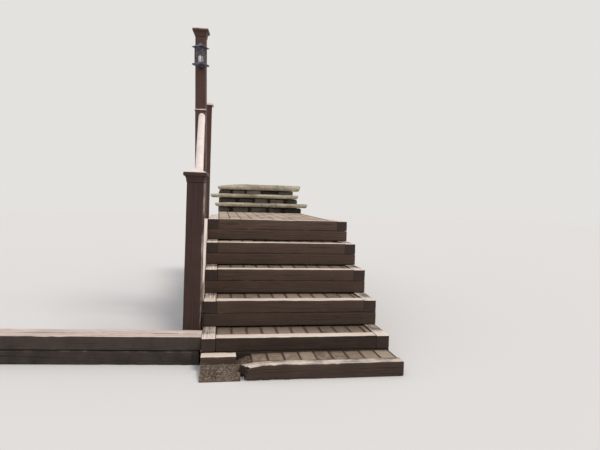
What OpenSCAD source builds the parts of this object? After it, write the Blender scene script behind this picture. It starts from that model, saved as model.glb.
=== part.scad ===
// Garden flight of box steps: square timbers paved with brick, a low kerb on the left, posts with a
// handrail, a lantern post, a paved landing and three rough stone slab steps behind it.
// Millimetres, +Z up, X across the flight, Y into the slope. The origin is the middle of the
// underside of the first riser's bottom timber.

/* [Timbers] */
// Side of a square timber
timber = 89; // [80:1:100]
// Joint between pieces that rest on or against each other
joint = 0.4; // [0.3:0.1:0.5]

/* [Flight] */
// Width of the flight over its side timbers
flight_w = 1219; // [1000:1:1500]
// Going of a step, nosing to nosing
going = 292; // [260:1:340]
// Depth that the paving has settled below the timbers
settle = 4; // [2:1:8]

/* [Low step] */
// Going of the low step in front of the first riser
low_going = 273; // [240:1:320]
// Length of its front timber that has rotted away at the left
low_break = 252; // [150:1:400]
// Length of the short timber left against the first riser
low_stub = 214; // [120:1:300]
// Depth that the fill has slumped where the timber is gone
low_slump = 42; // [20:1:60]

/* [Landing] */
// Length of the landing, last nosing to the first stone slab
landing_l = 1900; // [1200:10:2400]
// Height that the paving rises above the timbers towards the back
landing_rise = 34; // [15:1:50]

/* [Stone steps] */
// Width of a stone slab
slab_w = 1190; // [900:1:1250]
// How far the first, second and third slab lie to the right of the flight's middle
slab_shift = [10, -48, 42]; // [-60:1:60]
// Depth of a stone slab, front to back
slab_d = 430; // [380:1:480]
// Thickness of the first two slabs
slab_t = 52; // [40:1:70]
// Thickness of the top slab
top_slab_t = 78; // [60:1:90]
// Rise from slab to slab
stone_rise = 118; // [100:1:150]
// Going from slab front to slab front
stone_going = 390; // [340:1:420]
// How far a slab stands out over its riser
slab_lip = 40; // [20:1:60]
// How much narrower the rubble under the slabs is at each side
rubble_inset = 60; // [50:1:90]
// Usual height of a course of that rubble
course_h = 92; // [80:1:110]
// Usual length of a stone in a course
stone_l = 205; // [180:1:260]
// Width of the open joints between its stones
stone_gap = 8; // [5:1:10]
// Depth of those joints
stone_gap_d = 30; // [22:1:40]

/* [Kerb] */
// Length of the kerb timbers
kerb_l = 2440; // [1200:10:2440]
// Turn of the kerb and the posts away from the flight's front, in degrees
kerb_turn = 5.4; // [0:0.1:8]
// How far the kerb's corner lies behind the first nosing
kerb_back = 28; // [10:1:40]
// Width of the short block under the kerb's end
end_block_w = 42; // [30:1:60]
// Distance of that block from the kerb's end
end_block_in = 13; // [8:1:30]

/* [Newel] */
// Width of the clad newel
newel_w = 110; // [95:1:125]
// Height of the newel below its crown
newel_h = 1151; // [1000:1:1300]
// Gap between the newel's front corner and the flight's side, at the foot
newel_gap = 23; // [18:1:30]
// Lean of the newel towards the flight, in degrees
newel_lean = 0.65; // [0:0.05:1]
// How far a crown stands out over its post
crown_out = 21; // [15:1:30]
// Height of a crown's moulding
crown_h = 64; // [50:1:75]
// Height of the hipped top over the moulding
crown_hip = 33; // [20:1:40]

/* [Lantern post] */
// Width of the lantern post
lamp_post_w = 89; // [80:1:100]
// Height of the lantern post below its crown
lamp_post_h = 2420; // [2350:1:2500]
// Distance of its middle behind the last nosing
lamp_post_back = 72; // [60:1:90]
// Lean of the lantern post away from the flight, in degrees
lamp_post_lean = 0.9; // [0:0.05:1]
// Height of the trim band where the rail lands
band_z = 1798; // [1790:1:1850]
// Height of that band
band_h = 15; // [10:1:20]
// How far the band stands out of the post
band_out = 4; // [3:1:8]

/* [Upper post] */
// Width of the plain post beside the landing
upper_post_w = 89; // [80:1:100]
// Height of that post above the landing
upper_post_h = 1030; // [950:1:1100]
// Distance of its middle behind the last nosing
upper_post_back = 430; // [330:1:600]
// Lean of that post towards the flight, in degrees
upper_post_lean = 0.5; // [0:0.05:1]
// Overhang of its hipped cap
upper_cap_out = 14; // [10:1:25]
// Thickness of the cap's edge
upper_cap_t = 14; // [10:1:20]
// Height of the cap's hip
upper_cap_hip = 32; // [15:1:40]

/* [Skirt board] */
// Thickness of the sloping board along the flight's left side
skirt_t = 32; // [25:1:33]
// Depth of the board, measured upright
skirt_d = 270; // [200:1:330]

/* [Handrail] */
// Width of the handrail
rail_w = 55; // [45:1:65]
// Thickness of the handrail
rail_t = 52; // [45:1:60]
// Distance of the rail's crest below the band on the lantern post
rail_drop = 18; // [10:1:30]
// Distance of the rail's toe from the middle of the newel's crown
rail_toe = 46; // [35:1:55]
// Distance of the rail's middle line from the flight's side, at its toe and at its head
rail_in = [46, 68]; // [40:1:75]

/* [Lantern] */
// Side of the lantern's body, which is turned corner on
lantern_w = 74; // [65:1:80]
// Side of its base plate
lantern_base_w = 104; // [90:1:110]
// Side of its roof at the eaves
lantern_roof_w = 104; // [90:1:110]
// Height of the glazed body between base and roof
lantern_body_h = 130; // [110:1:140]
// Distance of the lantern's underside below the post's crown
lantern_drop = 272; // [255:1:320]
// Thickness of the base plate
lantern_base_t = 15; // [10:1:20]
// Height of the roof
lantern_roof_h = 40; // [35:1:50]
// Side of a corner bar
lantern_bar = 8; // [6:1:10]
// Turn of the lantern from corner on, in degrees
lantern_turn = 20; // [-20:1:25]
// Distance of its middle to the right of the post's middle
lantern_side = 13; // [0:1:20]
// Gap between the post and the base plate's back corner
lantern_off = 10; // [8:1:25]
// Thickness of the plate that holds the lantern on the post
plate_t = 6; // [5:1:8]
// Width of that plate
plate_w = 40; // [30:1:50]
// Height of that plate
plate_h = 90; // [50:1:100]

/* [Hidden] */
$fn = 32;
steps = 5;
rise = 2 * timber;
left_x = -flight_w / 2;
inner_w = flight_w - 2 * (timber + joint);
landing_z = steps * rise;
slope = atan(rise / going);
landing_back = nosing_y(steps) + landing_l;
stone_foot = landing_z + landing_rise;
kerb_y = nosing_y(1) + kerb_back;
kerb_d = 2 * timber;
turned_half = (cos(kerb_turn) + sin(kerb_turn)) / 2;
newel_x = left_x - newel_gap - newel_w / 2 * (cos(kerb_turn) - sin(kerb_turn));
newel_y = kerb_y + (kerb_d + newel_w / 2 + joint) / cos(kerb_turn) + (left_x - newel_x) * tan(kerb_turn);
lamp_x = left_x - joint - lamp_post_w * turned_half;
lamp_y = nosing_y(steps) + lamp_post_back;
upper_x = left_x - joint - upper_post_w / 2 - landing_z * tan(upper_post_lean);
upper_y = nosing_y(steps) + upper_post_back;
rail_foot_y = newel_y + rail_toe;
rail_head_y = lamp_y - lamp_post_w / 2;
rail_yaw = atan((rail_in[1] - rail_in[0]) / (rail_head_y - rail_foot_y));
rail_head_z = band_z - rail_drop;
lantern_z = lamp_post_h - lantern_drop;
lantern_back = lamp_post_w / 2 + lantern_off + lantern_base_w / sqrt(2);
timber_colour = "#4b3a33";
weathered_colour = "#8f867a";
post_colour = "#3f2f2c";
paving_colour = "#8c786c";
stone_colour = "#8d8474";
metal_colour = "#2f2d33";

// Y of the front of step i, counted from 1
function nosing_y(i) = (i - 1) * going - timber / 2;

// A box given by its low corner and its high corner
module block(low, high) {
    translate(low) cube(high - low);
}

// One front timber: course 0 is the full-width lower one, course 1 fits between the side timbers
module riser_timber(i, course) {
    half = course == 0 ? flight_w / 2 : inner_w / 2;
    z = (i - 1) * rise + course * timber;
    y = nosing_y(i);
    color(timber_colour) block([-half, y, z + (z > 0 ? joint : 0)], [half, y + timber, z + timber]);
}

// The stacked timbers of one side, each course starting at its own step
module side_timbers(x) {
    color(timber_colour) for (course = [0 : 2 * steps - 1]) {
        front = nosing_y(floor(course / 2) + 1) + (course % 2 == 0 ? timber + joint : 0);
        z = course * timber;
        block([x, front, z + (course > 0 ? joint : 0)], [x + timber, landing_back, z + timber]);
    }
}

// Paving and its bed behind front timber i, down to the ground
module tread_fill(i) {
    color(paving_colour)
        block([-inner_w / 2, nosing_y(i) + timber + joint, 0],
              [inner_w / 2, nosing_y(i + 1) + timber, i * rise - settle]);
}

module low_front_timber() {
    y = nosing_y(1) - low_going;
    x = left_x + low_break;
    color(timber_colour) linear_extrude(timber)
        polygon([[x, y], [flight_w / 2, y], [flight_w / 2, y + timber], [x - timber / 5, y + timber],
                 [x + timber / 8, y + timber / 2]]);
}

module low_stub_timber() {
    y = nosing_y(1) - joint;
    color(timber_colour) block([left_x, y - timber, 0], [left_x + low_stub, y, timber]);
}

module low_fill() {
    back = nosing_y(1) - joint;
    stub_front = back - timber - joint;
    front = nosing_y(1) - low_going;
    full = timber - settle;
    color(paving_colour) {
        block([left_x + low_stub + joint, front + timber + joint, 0], [flight_w / 2, back, full]);
        translate([left_x, 0, 0]) rotate([90, 0, 90]) linear_extrude(low_break - timber / 4)
            polygon([[front, 0], [stub_front, 0], [stub_front, full - low_slump],
                     [front + timber + joint, full - low_slump], [front, settle]]);
    }
}

module landing_fill() {
    front = nosing_y(steps) + timber + joint;
    back = landing_back + slab_lip - joint;
    low = landing_z - settle;
    color(paving_colour) translate([-inner_w / 2, 0, 0]) rotate([90, 0, 90]) linear_extrude(inner_w)
        polygon([[front, 0], [back, 0], [back, stone_foot], [landing_back, stone_foot], [front, low]]);
}

// Thickness of stone slab i and height of its underside
function slab_thick(i) = i == 3 ? top_slab_t : slab_t;
function slab_under(i) = stone_foot + i * stone_rise - slab_t;

// How far the corner stones of course c stand back from the rubble's face, and stone k between them
function corner_in(c) = [0, 8, 3, 11, 5][c % 5];
function stone_in(c, k) = [6, 0, 12, 3, 9][(2 * c + 3 * k) % 5];

// Where the stones of course c begin and end along a face of length l, staggered from course to course
function stone_ends(l, c) = let (n = round(l / stone_l)) concat(
    [0], [for (k = [1 : n - 1]) l / n * (k + (c % 2 == 0 ? 0.17 : -0.17) + 0.05 * ((c + k) % 3 - 1))], [l]);

// Dry rubble under slab i, down to the ground: coursed stones round a solid middle. Its front shows
// above the step before it, and only the last one's back is free.
module stone_riser(i) {
    front = landing_back + slab_lip + (i - 1) * stone_going;
    back = i == 3 ? landing_back + (i - 1) * stone_going + slab_d : front + stone_going - joint;
    half = slab_w / 2 - rubble_inset;
    top = slab_under(i) - joint;
    courses = round(top / course_h);
    h = top / courses;
    gap = stone_gap / 2;
    free = i == 3 ? 1 : 0;
    color("#4a443a") difference() {
        union() {
            block([stone_gap_d - half, front, 0], [half - stone_gap_d, back - free * stone_gap_d, top]);
            for (c = [0 : courses - 1]) {
                low = c * h + (c > 0 ? gap : 0);
                high = (c + 1) * h - (c < courses - 1 ? gap : 0);
                for (side = [0, 1]) {
                    y = stone_ends(back - front, c + side);
                    x = side == 0 ? [corner_in(c) - half, stone_gap_d + 1 - half]
                                  : [half - stone_gap_d - 1, half - corner_in(c)];
                    for (k = [0 : len(y) - 2])
                        block([x[0], front + y[k] + (k > 0 ? gap : 0), low],
                              [x[1], front + y[k + 1] - (k < len(y) - 2 ? gap : free * corner_in(c)), high]);
                }
                x = stone_ends(2 * half, c);
                last = len(x) - 2;
                if (free == 1) for (k = [0 : last])
                    block([x[k] - half + (k > 0 ? gap : corner_in(c)), back - stone_gap_d - 1, low],
                          [x[k + 1] - half - (k < last ? gap : corner_in(c)),
                           back - (k > 0 && k < last ? stone_in(c, k) : corner_in(c)), high]);
            }
        }
        for (x = stone_ends(2 * half, courses)) if (x > 0 && x < 2 * half)
            block([x - half - gap, front - 1, top - h + gap], [x - half + gap, front + stone_gap_d, top + 1]);
    }
}

// A rough slab: a rectangle with its four corners cut by different amounts
module stone_slab(i, cuts) {
    w = slab_w / 2;
    d = i == 3 ? slab_d : stone_going + slab_lip - joint;
    color(stone_colour) translate([slab_shift[i - 1], landing_back + (i - 1) * stone_going, slab_under(i)])
        linear_extrude(slab_thick(i))
            polygon([[cuts[0] - w, 0], [w - cuts[1], 0], [w, cuts[1] / 2], [w, d - cuts[2]],
                     [w - cuts[2], d], [cuts[3] - w, d], [-w, d - cuts[3]], [-w, cuts[0] / 2]]);
}

// A kerb timber in the kerb's own turned direction, its right end cut along the flight's side.
// row counts back from the front and course counts up from the ground.
module kerb_timber(row, course, right_in = 0) {
    color(weathered_colour) difference() {
        translate([left_x, kerb_y, course * timber + (course > 0 ? joint : 0)]) rotate(-kerb_turn)
            translate([-kerb_l, row * timber + (row > 0 ? joint : 0), 0])
                cube([kerb_l + timber, timber - (row > 0 ? joint : 0), timber - (course > 0 ? joint : 0)]);
        block([left_x - joint - right_in, kerb_y - timber, -1],
              [left_x + 2 * timber, kerb_y + 4 * timber, rise + 1]);
    }
}

module kerb_end_block() {
    color(weathered_colour) intersection() {
        translate([left_x, kerb_y, 0]) rotate(-kerb_turn)
            translate([-2 * timber, 0, 0]) cube([3 * timber, kerb_d, timber]);
        block([left_x - end_block_in - end_block_w, kerb_y - timber, 0],
              [left_x - end_block_in, kerb_y + 4 * timber, timber]);
    }
}

// A square outline extruded along X and along Y, kept where both agree, so that it is mitred
module mitred(points, reach) {
    intersection() {
        rotate([90, 0, 0]) linear_extrude(2 * reach, center = true) polygon(points);
        rotate([90, 0, 90]) linear_extrude(2 * reach, center = true) polygon(points);
    }
}

// Half of a crown's outline from its neck up: a bead, a cove and the cap's edge
function crown_half(w, out, h) = concat(
    [[w / 2, 0], [w / 2 + out * 0.14, 0]],
    [for (a = [0 : 22.5 : 90]) [w / 2 + out * (0.14 + 0.68 * (1 - cos(a))), h * (0.08 + 0.54 * sin(a))]],
    [[w / 2 + out, h * 0.65], [w / 2 + out, h]]);

// A crown with a hipped top for a square post; grow makes it larger all round
module crown(w, out, h, hip, grow = 0) {
    half = crown_half(w + 2 * grow, out, h);
    right = concat([[0, -grow]], [for (p = half) [p[0], p[1] < h ? p[1] - grow : p[1] + grow]]);
    left = [for (i = [len(right) - 1 : -1 : 1]) [-right[i][0], right[i][1]]];
    mitred(concat(right, [[0, h + hip + grow]], left), w);
}

// Puts pieces on a post's own axis, which stands at x, y and leans towards +X
module on_post(x, y, lean) {
    translate([x, y, 0]) rotate([0, lean, 0]) rotate(-kerb_turn) children();
}

module centred_box(w, h) {
    translate([-w / 2, -w / 2, 0]) cube([w, w, h]);
}

// A leaning post, cut level at the ground
module leaning_post(x, y, lean, w, h) {
    difference() {
        on_post(x, y, lean) translate([0, 0, -timber]) centred_box(w, h + timber);
        block([x - 2 * w, y - 2 * w, -2 * timber], [x + 2 * w, y + 2 * w, 0]);
    }
}

module newel_post() {
    color(post_colour) leaning_post(newel_x, newel_y, newel_lean, newel_w, newel_h);
}

module newel_crown_shape(grow = 0) {
    on_post(newel_x, newel_y, newel_lean) translate([0, 0, newel_h + joint])
        crown(newel_w, crown_out, crown_h, crown_hip, grow);
}

module newel_crown() {
    color(post_colour) newel_crown_shape();
}

// Puts pieces on the lantern post's axis at height z
module on_lamp_post(z) {
    on_post(lamp_x, lamp_y, -lamp_post_lean) translate([0, 0, z]) children();
}

module lamp_post() {
    color(post_colour) leaning_post(lamp_x, lamp_y, -lamp_post_lean, lamp_post_w, lamp_post_h);
}

module lamp_post_band() {
    color(post_colour) on_lamp_post(band_z) difference() {
        centred_box(lamp_post_w + 2 * band_out, band_h);
        translate([0, 0, -1]) centred_box(lamp_post_w + 2 * joint, band_h + 2);
    }
}

module lamp_post_crown() {
    color(post_colour) on_lamp_post(lamp_post_h + joint)
        crown(lamp_post_w, crown_out, crown_h, crown_hip * lamp_post_w / newel_w);
}

module upper_post() {
    color(post_colour) difference() {
        translate([upper_x, upper_y, 0]) rotate([0, upper_post_lean, 0]) translate([0, 0, -timber])
            centred_box(upper_post_w, landing_z + upper_post_h + timber);
        block([upper_x - timber, upper_y - timber, -2 * timber], [upper_x + timber, upper_y + timber, 0]);
    }
}

module upper_post_cap() {
    half = upper_post_w / 2 + upper_cap_out;
    color(post_colour) translate([upper_x, upper_y, 0]) rotate([0, upper_post_lean, 0])
        translate([0, 0, landing_z + upper_post_h + joint])
            mitred([[-half, 0], [half, 0], [half, upper_cap_t], [0, upper_cap_t + upper_cap_hip],
                    [-half, upper_cap_t]], upper_post_w);
}

// Height of the line of the nosings at y
function nosing_line(y) = rise + (y - nosing_y(1)) * rise / going;

// A board on edge with its top along the line of the nosings
module skirt_board() {
    front = newel_y + newel_w / 2 * (cos(kerb_turn) + sin(kerb_turn)) + 10 * joint;
    back = nosing_y(steps);
    color(weathered_colour) translate([left_x - joint - skirt_t, 0, 0]) rotate([90, 0, 90])
        linear_extrude(skirt_t)
            polygon([[front, nosing_line(front) - skirt_d], [back, nosing_line(back) - skirt_d],
                     [back, nosing_line(back)], [front, nosing_line(front)]]);
}

// Round-topped rail parallel to the line of the nosings, its toe on the newel's crown and its other
// end against the lantern post
module handrail() {
    reach = 2 * going * steps;
    color("#cdbfb2") difference() {
        intersection() {
            translate([left_x - rail_in[1], rail_head_y, rail_head_z]) rotate(rail_yaw)
                rotate([slope + 90, 0, 0]) linear_extrude(reach, center = true)
                    polygon(concat([[-rail_w / 2, -rail_t], [rail_w / 2, -rail_t]],
                        [for (a = [0 : 15 : 180]) [rail_w / 2 * cos(a), rail_w / 2 * (sin(a) - 1)]]));
            on_lamp_post(0)
                translate([-reach, -reach - lamp_post_w / 2 - joint, 0]) cube([2 * reach, reach, reach]);
            block([newel_x - 2 * newel_w, rail_foot_y, newel_h], [left_x + newel_w, lamp_y, band_z]);
        }
        newel_crown_shape(joint);
    }
}

// Puts pieces in the lantern's middle, turned nearly corner on to the front
module at_lantern(z) {
    on_lamp_post(z) translate([lantern_side, -lantern_back, 0]) rotate(45 + lantern_turn) children();
}

// Base plate with an arm back to a plate on the post, one fitting
module lantern_base() {
    face = -lamp_post_w / 2 - joint;
    color(metal_colour) {
        at_lantern(lantern_z) centred_box(lantern_base_w, lantern_base_t);
        on_lamp_post(lantern_z) {
            block([-plate_w / 2, face - plate_t, 0], [plate_w / 2, face, plate_h]);
            block([-plate_w / 4, -lantern_back, 0], [plate_w / 4, face - plate_t / 2, plate_t]);
        }
    }
}

module lantern_cage() {
    color(metal_colour) at_lantern(lantern_z + lantern_base_t + joint) difference() {
        centred_box(lantern_w, lantern_body_h);
        translate([0, 0, -1]) centred_box(lantern_w - lantern_bar / 2, lantern_body_h + 2);
        for (turn = [0, 90]) rotate(turn)
            translate([-lantern_w, lantern_bar - lantern_w / 2, lantern_bar])
                cube([2 * lantern_w, lantern_w - 2 * lantern_bar, lantern_body_h - 2 * lantern_bar]);
    }
}

// Four panes behind the cage's bars
module lantern_glass() {
    outer = lantern_w - lantern_bar / 2 - 2 * joint;
    color("#dfe6e8") at_lantern(lantern_z + lantern_base_t + joint) difference() {
        centred_box(outer, lantern_body_h);
        translate([0, 0, -1]) centred_box(outer - lantern_bar / 2, lantern_body_h + 2);
    }
}

module lantern_roof() {
    half = lantern_roof_w / 2;
    top = lantern_roof_h;
    color(metal_colour) at_lantern(lantern_z + lantern_base_t + lantern_body_h + 2 * joint)
        mitred([[-half, 0], [half, 0], [half, top * 0.12], [half * 0.3, top * 0.7], [half * 0.15, top],
                [-half * 0.15, top], [-half * 0.3, top * 0.7], [-half, top * 0.12]], lantern_roof_w);
}

module lantern_candle() {
    color("#d8d2cc") at_lantern(lantern_z + lantern_base_t + joint)
        cylinder(d = lantern_w / 2, h = lantern_body_h * 0.5);
}

low_front_timber();
low_stub_timber();
low_fill();
riser_timber(1, 0);  // riser_1_lower
riser_timber(1, 1);  // riser_1_upper
riser_timber(2, 0);  // riser_2_lower
riser_timber(2, 1);  // riser_2_upper
riser_timber(3, 0);  // riser_3_lower
riser_timber(3, 1);  // riser_3_upper
riser_timber(4, 0);  // riser_4_lower
riser_timber(4, 1);  // riser_4_upper
riser_timber(5, 0);  // riser_5_lower
riser_timber(5, 1);  // riser_5_upper
side_timbers(left_x);  // left_side_timbers
side_timbers(-left_x - timber);  // right_side_timbers
tread_fill(1);  // tread_fill_1
tread_fill(2);  // tread_fill_2
tread_fill(3);  // tread_fill_3
tread_fill(4);  // tread_fill_4
landing_fill();
stone_riser(1);  // stone_riser_1
stone_riser(2);  // stone_riser_2
stone_riser(3);  // stone_riser_3
stone_slab(1, [60, 40, 50, 45]);  // stone_slab_1
stone_slab(2, [45, 70, 40, 60]);  // stone_slab_2
stone_slab(3, [110, 60, 90, 120]);  // stone_slab_3
kerb_timber(0, 1);  // kerb_upper_front
kerb_timber(1, 1);  // kerb_upper_back
kerb_timber(0, 0, end_block_in + end_block_w);  // kerb_lower_front
kerb_timber(1, 0, end_block_in + end_block_w);  // kerb_lower_back
kerb_end_block();
skirt_board();
newel_post();
newel_crown();
handrail();
lamp_post();
lamp_post_band();
lamp_post_crown();
upper_post();
upper_post_cap();
lantern_base();
lantern_cage();
lantern_glass();
lantern_roof();
lantern_candle();
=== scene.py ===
"""Garden steps: box steps of square timbers paved with brick, a low timber kerb, posts with a
handrail, a lantern on its post, and rough stone slab steps at the back of a paved landing."""

import functools
import math

import bpy
import numpy as np
from mathutils import Matrix, Vector


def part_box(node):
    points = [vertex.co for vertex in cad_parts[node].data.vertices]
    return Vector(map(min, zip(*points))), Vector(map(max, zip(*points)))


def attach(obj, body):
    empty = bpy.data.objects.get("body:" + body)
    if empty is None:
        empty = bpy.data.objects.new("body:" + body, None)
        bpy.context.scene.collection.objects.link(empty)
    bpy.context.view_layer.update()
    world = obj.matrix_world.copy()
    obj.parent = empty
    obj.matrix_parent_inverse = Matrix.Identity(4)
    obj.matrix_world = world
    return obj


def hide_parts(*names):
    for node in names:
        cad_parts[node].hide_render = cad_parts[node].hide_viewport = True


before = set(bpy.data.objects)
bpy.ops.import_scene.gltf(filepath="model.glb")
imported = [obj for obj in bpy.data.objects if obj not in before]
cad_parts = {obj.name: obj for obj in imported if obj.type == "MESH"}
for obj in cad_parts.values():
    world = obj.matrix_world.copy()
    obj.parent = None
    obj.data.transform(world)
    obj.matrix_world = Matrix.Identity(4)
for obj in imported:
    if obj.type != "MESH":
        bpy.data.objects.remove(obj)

bl_info = {
    "name": "Garden Steps",
    "version": (1, 0, 0),
    "blender": (4, 5, 0),
    "location": "3D View > Sidebar > Garden Steps",
    "description": "Timber box steps with brick treads, a kerb, posts, a rail, a lantern and stone slabs",
    "category": "Object",
}


CLEARANCE = 0.0004  # kept between pieces that would otherwise touch
NEAR = 0.001  # a corner this near to a level or a side of a solid lies on it

# seeds of the random draws, for each group of pieces; the next few numbers are its own too
SEED = {"rot": 41, "low_step": 51, "treads": 60, "landing": 70, "rubble": 80, "slabs": 90, "risers": 100,
        "kerb": 120, "newel": 140, "lantern_post": 150, "landing_post": 160, "skirt": 170, "rail": 181,
        "sides": 300}


# ---- reading the solids -------------------------------------------------------------------------


def corners(node):
    """The solid's separate corner points, in metres."""
    points = np.array([v.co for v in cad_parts[node].data.vertices], float)
    return np.unique(points.round(5), axis=0)


def box(node):
    """Lowest and highest corner of the solid as arrays."""
    low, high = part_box(node)
    return np.array(low), np.array(high)


def post_frame(node):
    """Where a square post stands: a frame with its middle at the foot, its axis as Z and its front
    edge as X, and then the post's width and height."""
    points = corners(node)
    top = points[points[:, 2] > points[:, 2].max() - 0.01]
    foot = points[points[:, 2] < points[:, 2].min() + 0.01]
    left = top[np.argmin(top[:, 0] + top[:, 1])]
    right = top[np.argmax(top[:, 0] - top[:, 1])]
    axis = Vector(top.mean(0) - foot.mean(0))
    height = axis.length
    axis.normalize()
    across = Vector(right - left)
    width = across.length
    across = (across - axis * across.dot(axis)).normalized()
    turned = Matrix((across, axis.cross(across), axis)).transposed().to_4x4()
    return np.array(Matrix.Translation(foot.mean(0)) @ turned), width, height


def on_post(node, post):
    """What sits on a post: the post's frame lifted to its foot, and in the post's frame its half
    width and the levels of its foot, eaves and peak."""
    local = unplaced(corners(node), post)
    foot = local[:, 2].min()
    lifted = post.copy()
    lifted[:3, 3] = placed(np.array([[0, 0, foot]]), post)[0]
    return lifted, local[:, 0].max(), foot, np.unique(local[:, 2].round(3))[-2], local[:, 2].max()


def turned_about(matrix, spot, turn, axis="Z"):
    """A frame moved to a spot in itself and turned there about one of its axes."""
    return matrix @ np.array(Matrix.Translation(spot) @ Matrix.Rotation(turn, 4, axis))


def four_sides(matrix):
    """A frame, turned to face each side of a square form."""
    return [matrix @ np.array(Matrix.Rotation(side * math.pi / 2, 4, "Z")) for side in range(4)]


def placed(points, matrix):
    """Points moved by a frame."""
    return points @ matrix[:3, :3].T + matrix[:3, 3]


def unplaced(points, matrix):
    """Points seen from a frame."""
    return (points - matrix[:3, 3]) @ matrix[:3, :3]


# ---- uneven surfaces ----------------------------------------------------------------------------


def lattice_value(x, y, z, seed):
    """A number from -1 to 1 that belongs to a cell."""
    mix = (x * 73856093) ^ (y * 19349663) ^ (z * 83492791) ^ (seed * 2654435761)
    mix = (((mix ^ (mix >> 13)) & 0xFFFFFFFF) * 1274126177) & 0xFFFFFFFF
    return ((mix ^ (mix >> 16)) & 0xFFFFFF) / 0x7FFFFF - 1.0


def fresh_seed(rng):
    """The next seed for an uneven surface."""
    return int(rng.integers(900))


def unevenness(points, lump, seed):
    """A smooth rise and fall from -1 to 1 over points, with lumps of the given size along X, Y, Z."""
    cells = points / np.array(lump)
    corner = np.floor(cells).astype(np.int64)
    share = cells - corner
    share = share * share * (3 - 2 * share)
    total = np.zeros(points.shape[:-1])
    for step in np.ndindex(2, 2, 2):
        x, y, z = np.moveaxis(np.abs(1 - np.array(step) - share), -1, 0)
        total += x * y * z * lattice_value(*np.moveaxis(corner + step, -1, 0), int(seed))
    return total


# ---- putting a piece together -------------------------------------------------------------------


class Workpiece:
    """The points and faces of one piece. Each point also keeps where it lies in its own grain, and
    its shade, how worn it is, and whether it is on a sawn end."""

    def __init__(self):
        self.points, self.grain, self.state, self.faces, self.finish = [], [], [], [], []
        self.count = 0

    def add(self, points, faces, grain=None, shade=0.5, worn=0.0, end=0.0, finish=0):
        points = np.asarray(points, float).reshape(-1, 3)
        state = np.zeros((len(points), 3))
        state[:, 0], state[:, 1], state[:, 2] = shade, worn, end
        self.points.append(points)
        self.grain.append(points if grain is None else np.asarray(grain, float).reshape(-1, 3))
        self.state.append(state)
        for group in faces:
            group = np.asarray(group, np.int64)
            self.faces.append(group + self.count)
            self.finish.append(np.full(len(group), finish))
        self.count += len(points)

    def piece(self, name, finishes, slot, *nodes, crease=40):
        """Makes the Blender object, which stands for the named solids."""
        mesh = bpy.data.meshes.new(name)
        points = np.concatenate(self.points).astype(np.float32)
        mesh.vertices.add(len(points))
        mesh.vertices.foreach_set("co", points.ravel())
        sizes = np.concatenate([np.full(len(f), f.shape[1]) for f in self.faces])
        mesh.loops.add(int(sizes.sum()))
        mesh.loops.foreach_set("vertex_index", np.concatenate([f.ravel() for f in self.faces]).astype(np.int32))
        mesh.polygons.add(len(sizes))
        mesh.polygons.foreach_set("loop_start", (np.cumsum(sizes) - sizes).astype(np.int32))
        mesh.polygons.foreach_set("material_index", np.concatenate(self.finish).astype(np.int32))
        mesh.polygons.foreach_set("use_smooth", np.ones(len(sizes), bool))
        for label, values in (("grain", self.grain), ("state", self.state)):
            layer = mesh.attributes.new(label, "FLOAT_VECTOR", "POINT")
            layer.data.foreach_set("vector", np.concatenate(values).astype(np.float32).ravel())
        mesh.update(calc_edges=True)
        mesh.validate()
        mesh.set_sharp_from_angle(angle=math.radians(crease))
        for finish in finishes:
            mesh.materials.append(finish)
        made = bpy.data.objects.new(name, mesh)
        bpy.context.scene.collection.objects.link(made)
        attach(made, "root")
        if nodes:
            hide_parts(*nodes)
        return made


def skin(rows, around, closed=True, first=0):
    """Four-sided faces between rows of points; the rows run along and the points around."""
    i, j = np.meshgrid(np.arange(rows - 1), np.arange(around if closed else around - 1), indexing="ij")
    i, j = i.ravel(), j.ravel()
    after = (j + 1) % around
    row, above = first + i * around, first + (i + 1) * around
    return np.stack([row + j, row + after, above + after, above + j], 1)


def end_cap(ring, flip, shares=(1.0, 0.86, 0.62, 0.34)):
    """Closes a ring with smaller rings and a middle point."""
    middle = ring.mean(0)
    rows = np.concatenate([middle + (ring - middle) * share for share in shares] + [middle[None]])
    count = len(ring)
    quads = skin(len(shares), count)
    last = (len(shares) - 1) * count
    j = np.arange(count)
    fan = np.stack([last + j, last + (j + 1) % count, np.full(count, len(rows) - 1)], 1)
    return rows, [quads[:, ::-1], fan[:, ::-1]] if flip else [quads, fan]


def lofted(work, points, matrix, shades, worn, shares=(1.0, 0.86, 0.62, 0.34)):
    """Adds a form of rings, seen from a frame, with a cap on both ends. It has a shade for its side
    and one for its caps, and how worn each ring is."""
    rings, around = points.shape[:2]
    wear = np.repeat(np.array(worn, float)[:, None], around, 1)
    flat = points.reshape(-1, 3)
    work.add(placed(flat, matrix), [skin(rings, around)], flat, shades[0], wear.ravel())
    for end, flip in ((0, True), (-1, False)):
        cap, faces = end_cap(points[end], flip, shares)
        work.add(placed(cap, matrix), faces, cap, shades[1], worn[end])


# ---- timber -------------------------------------------------------------------------------------


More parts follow.
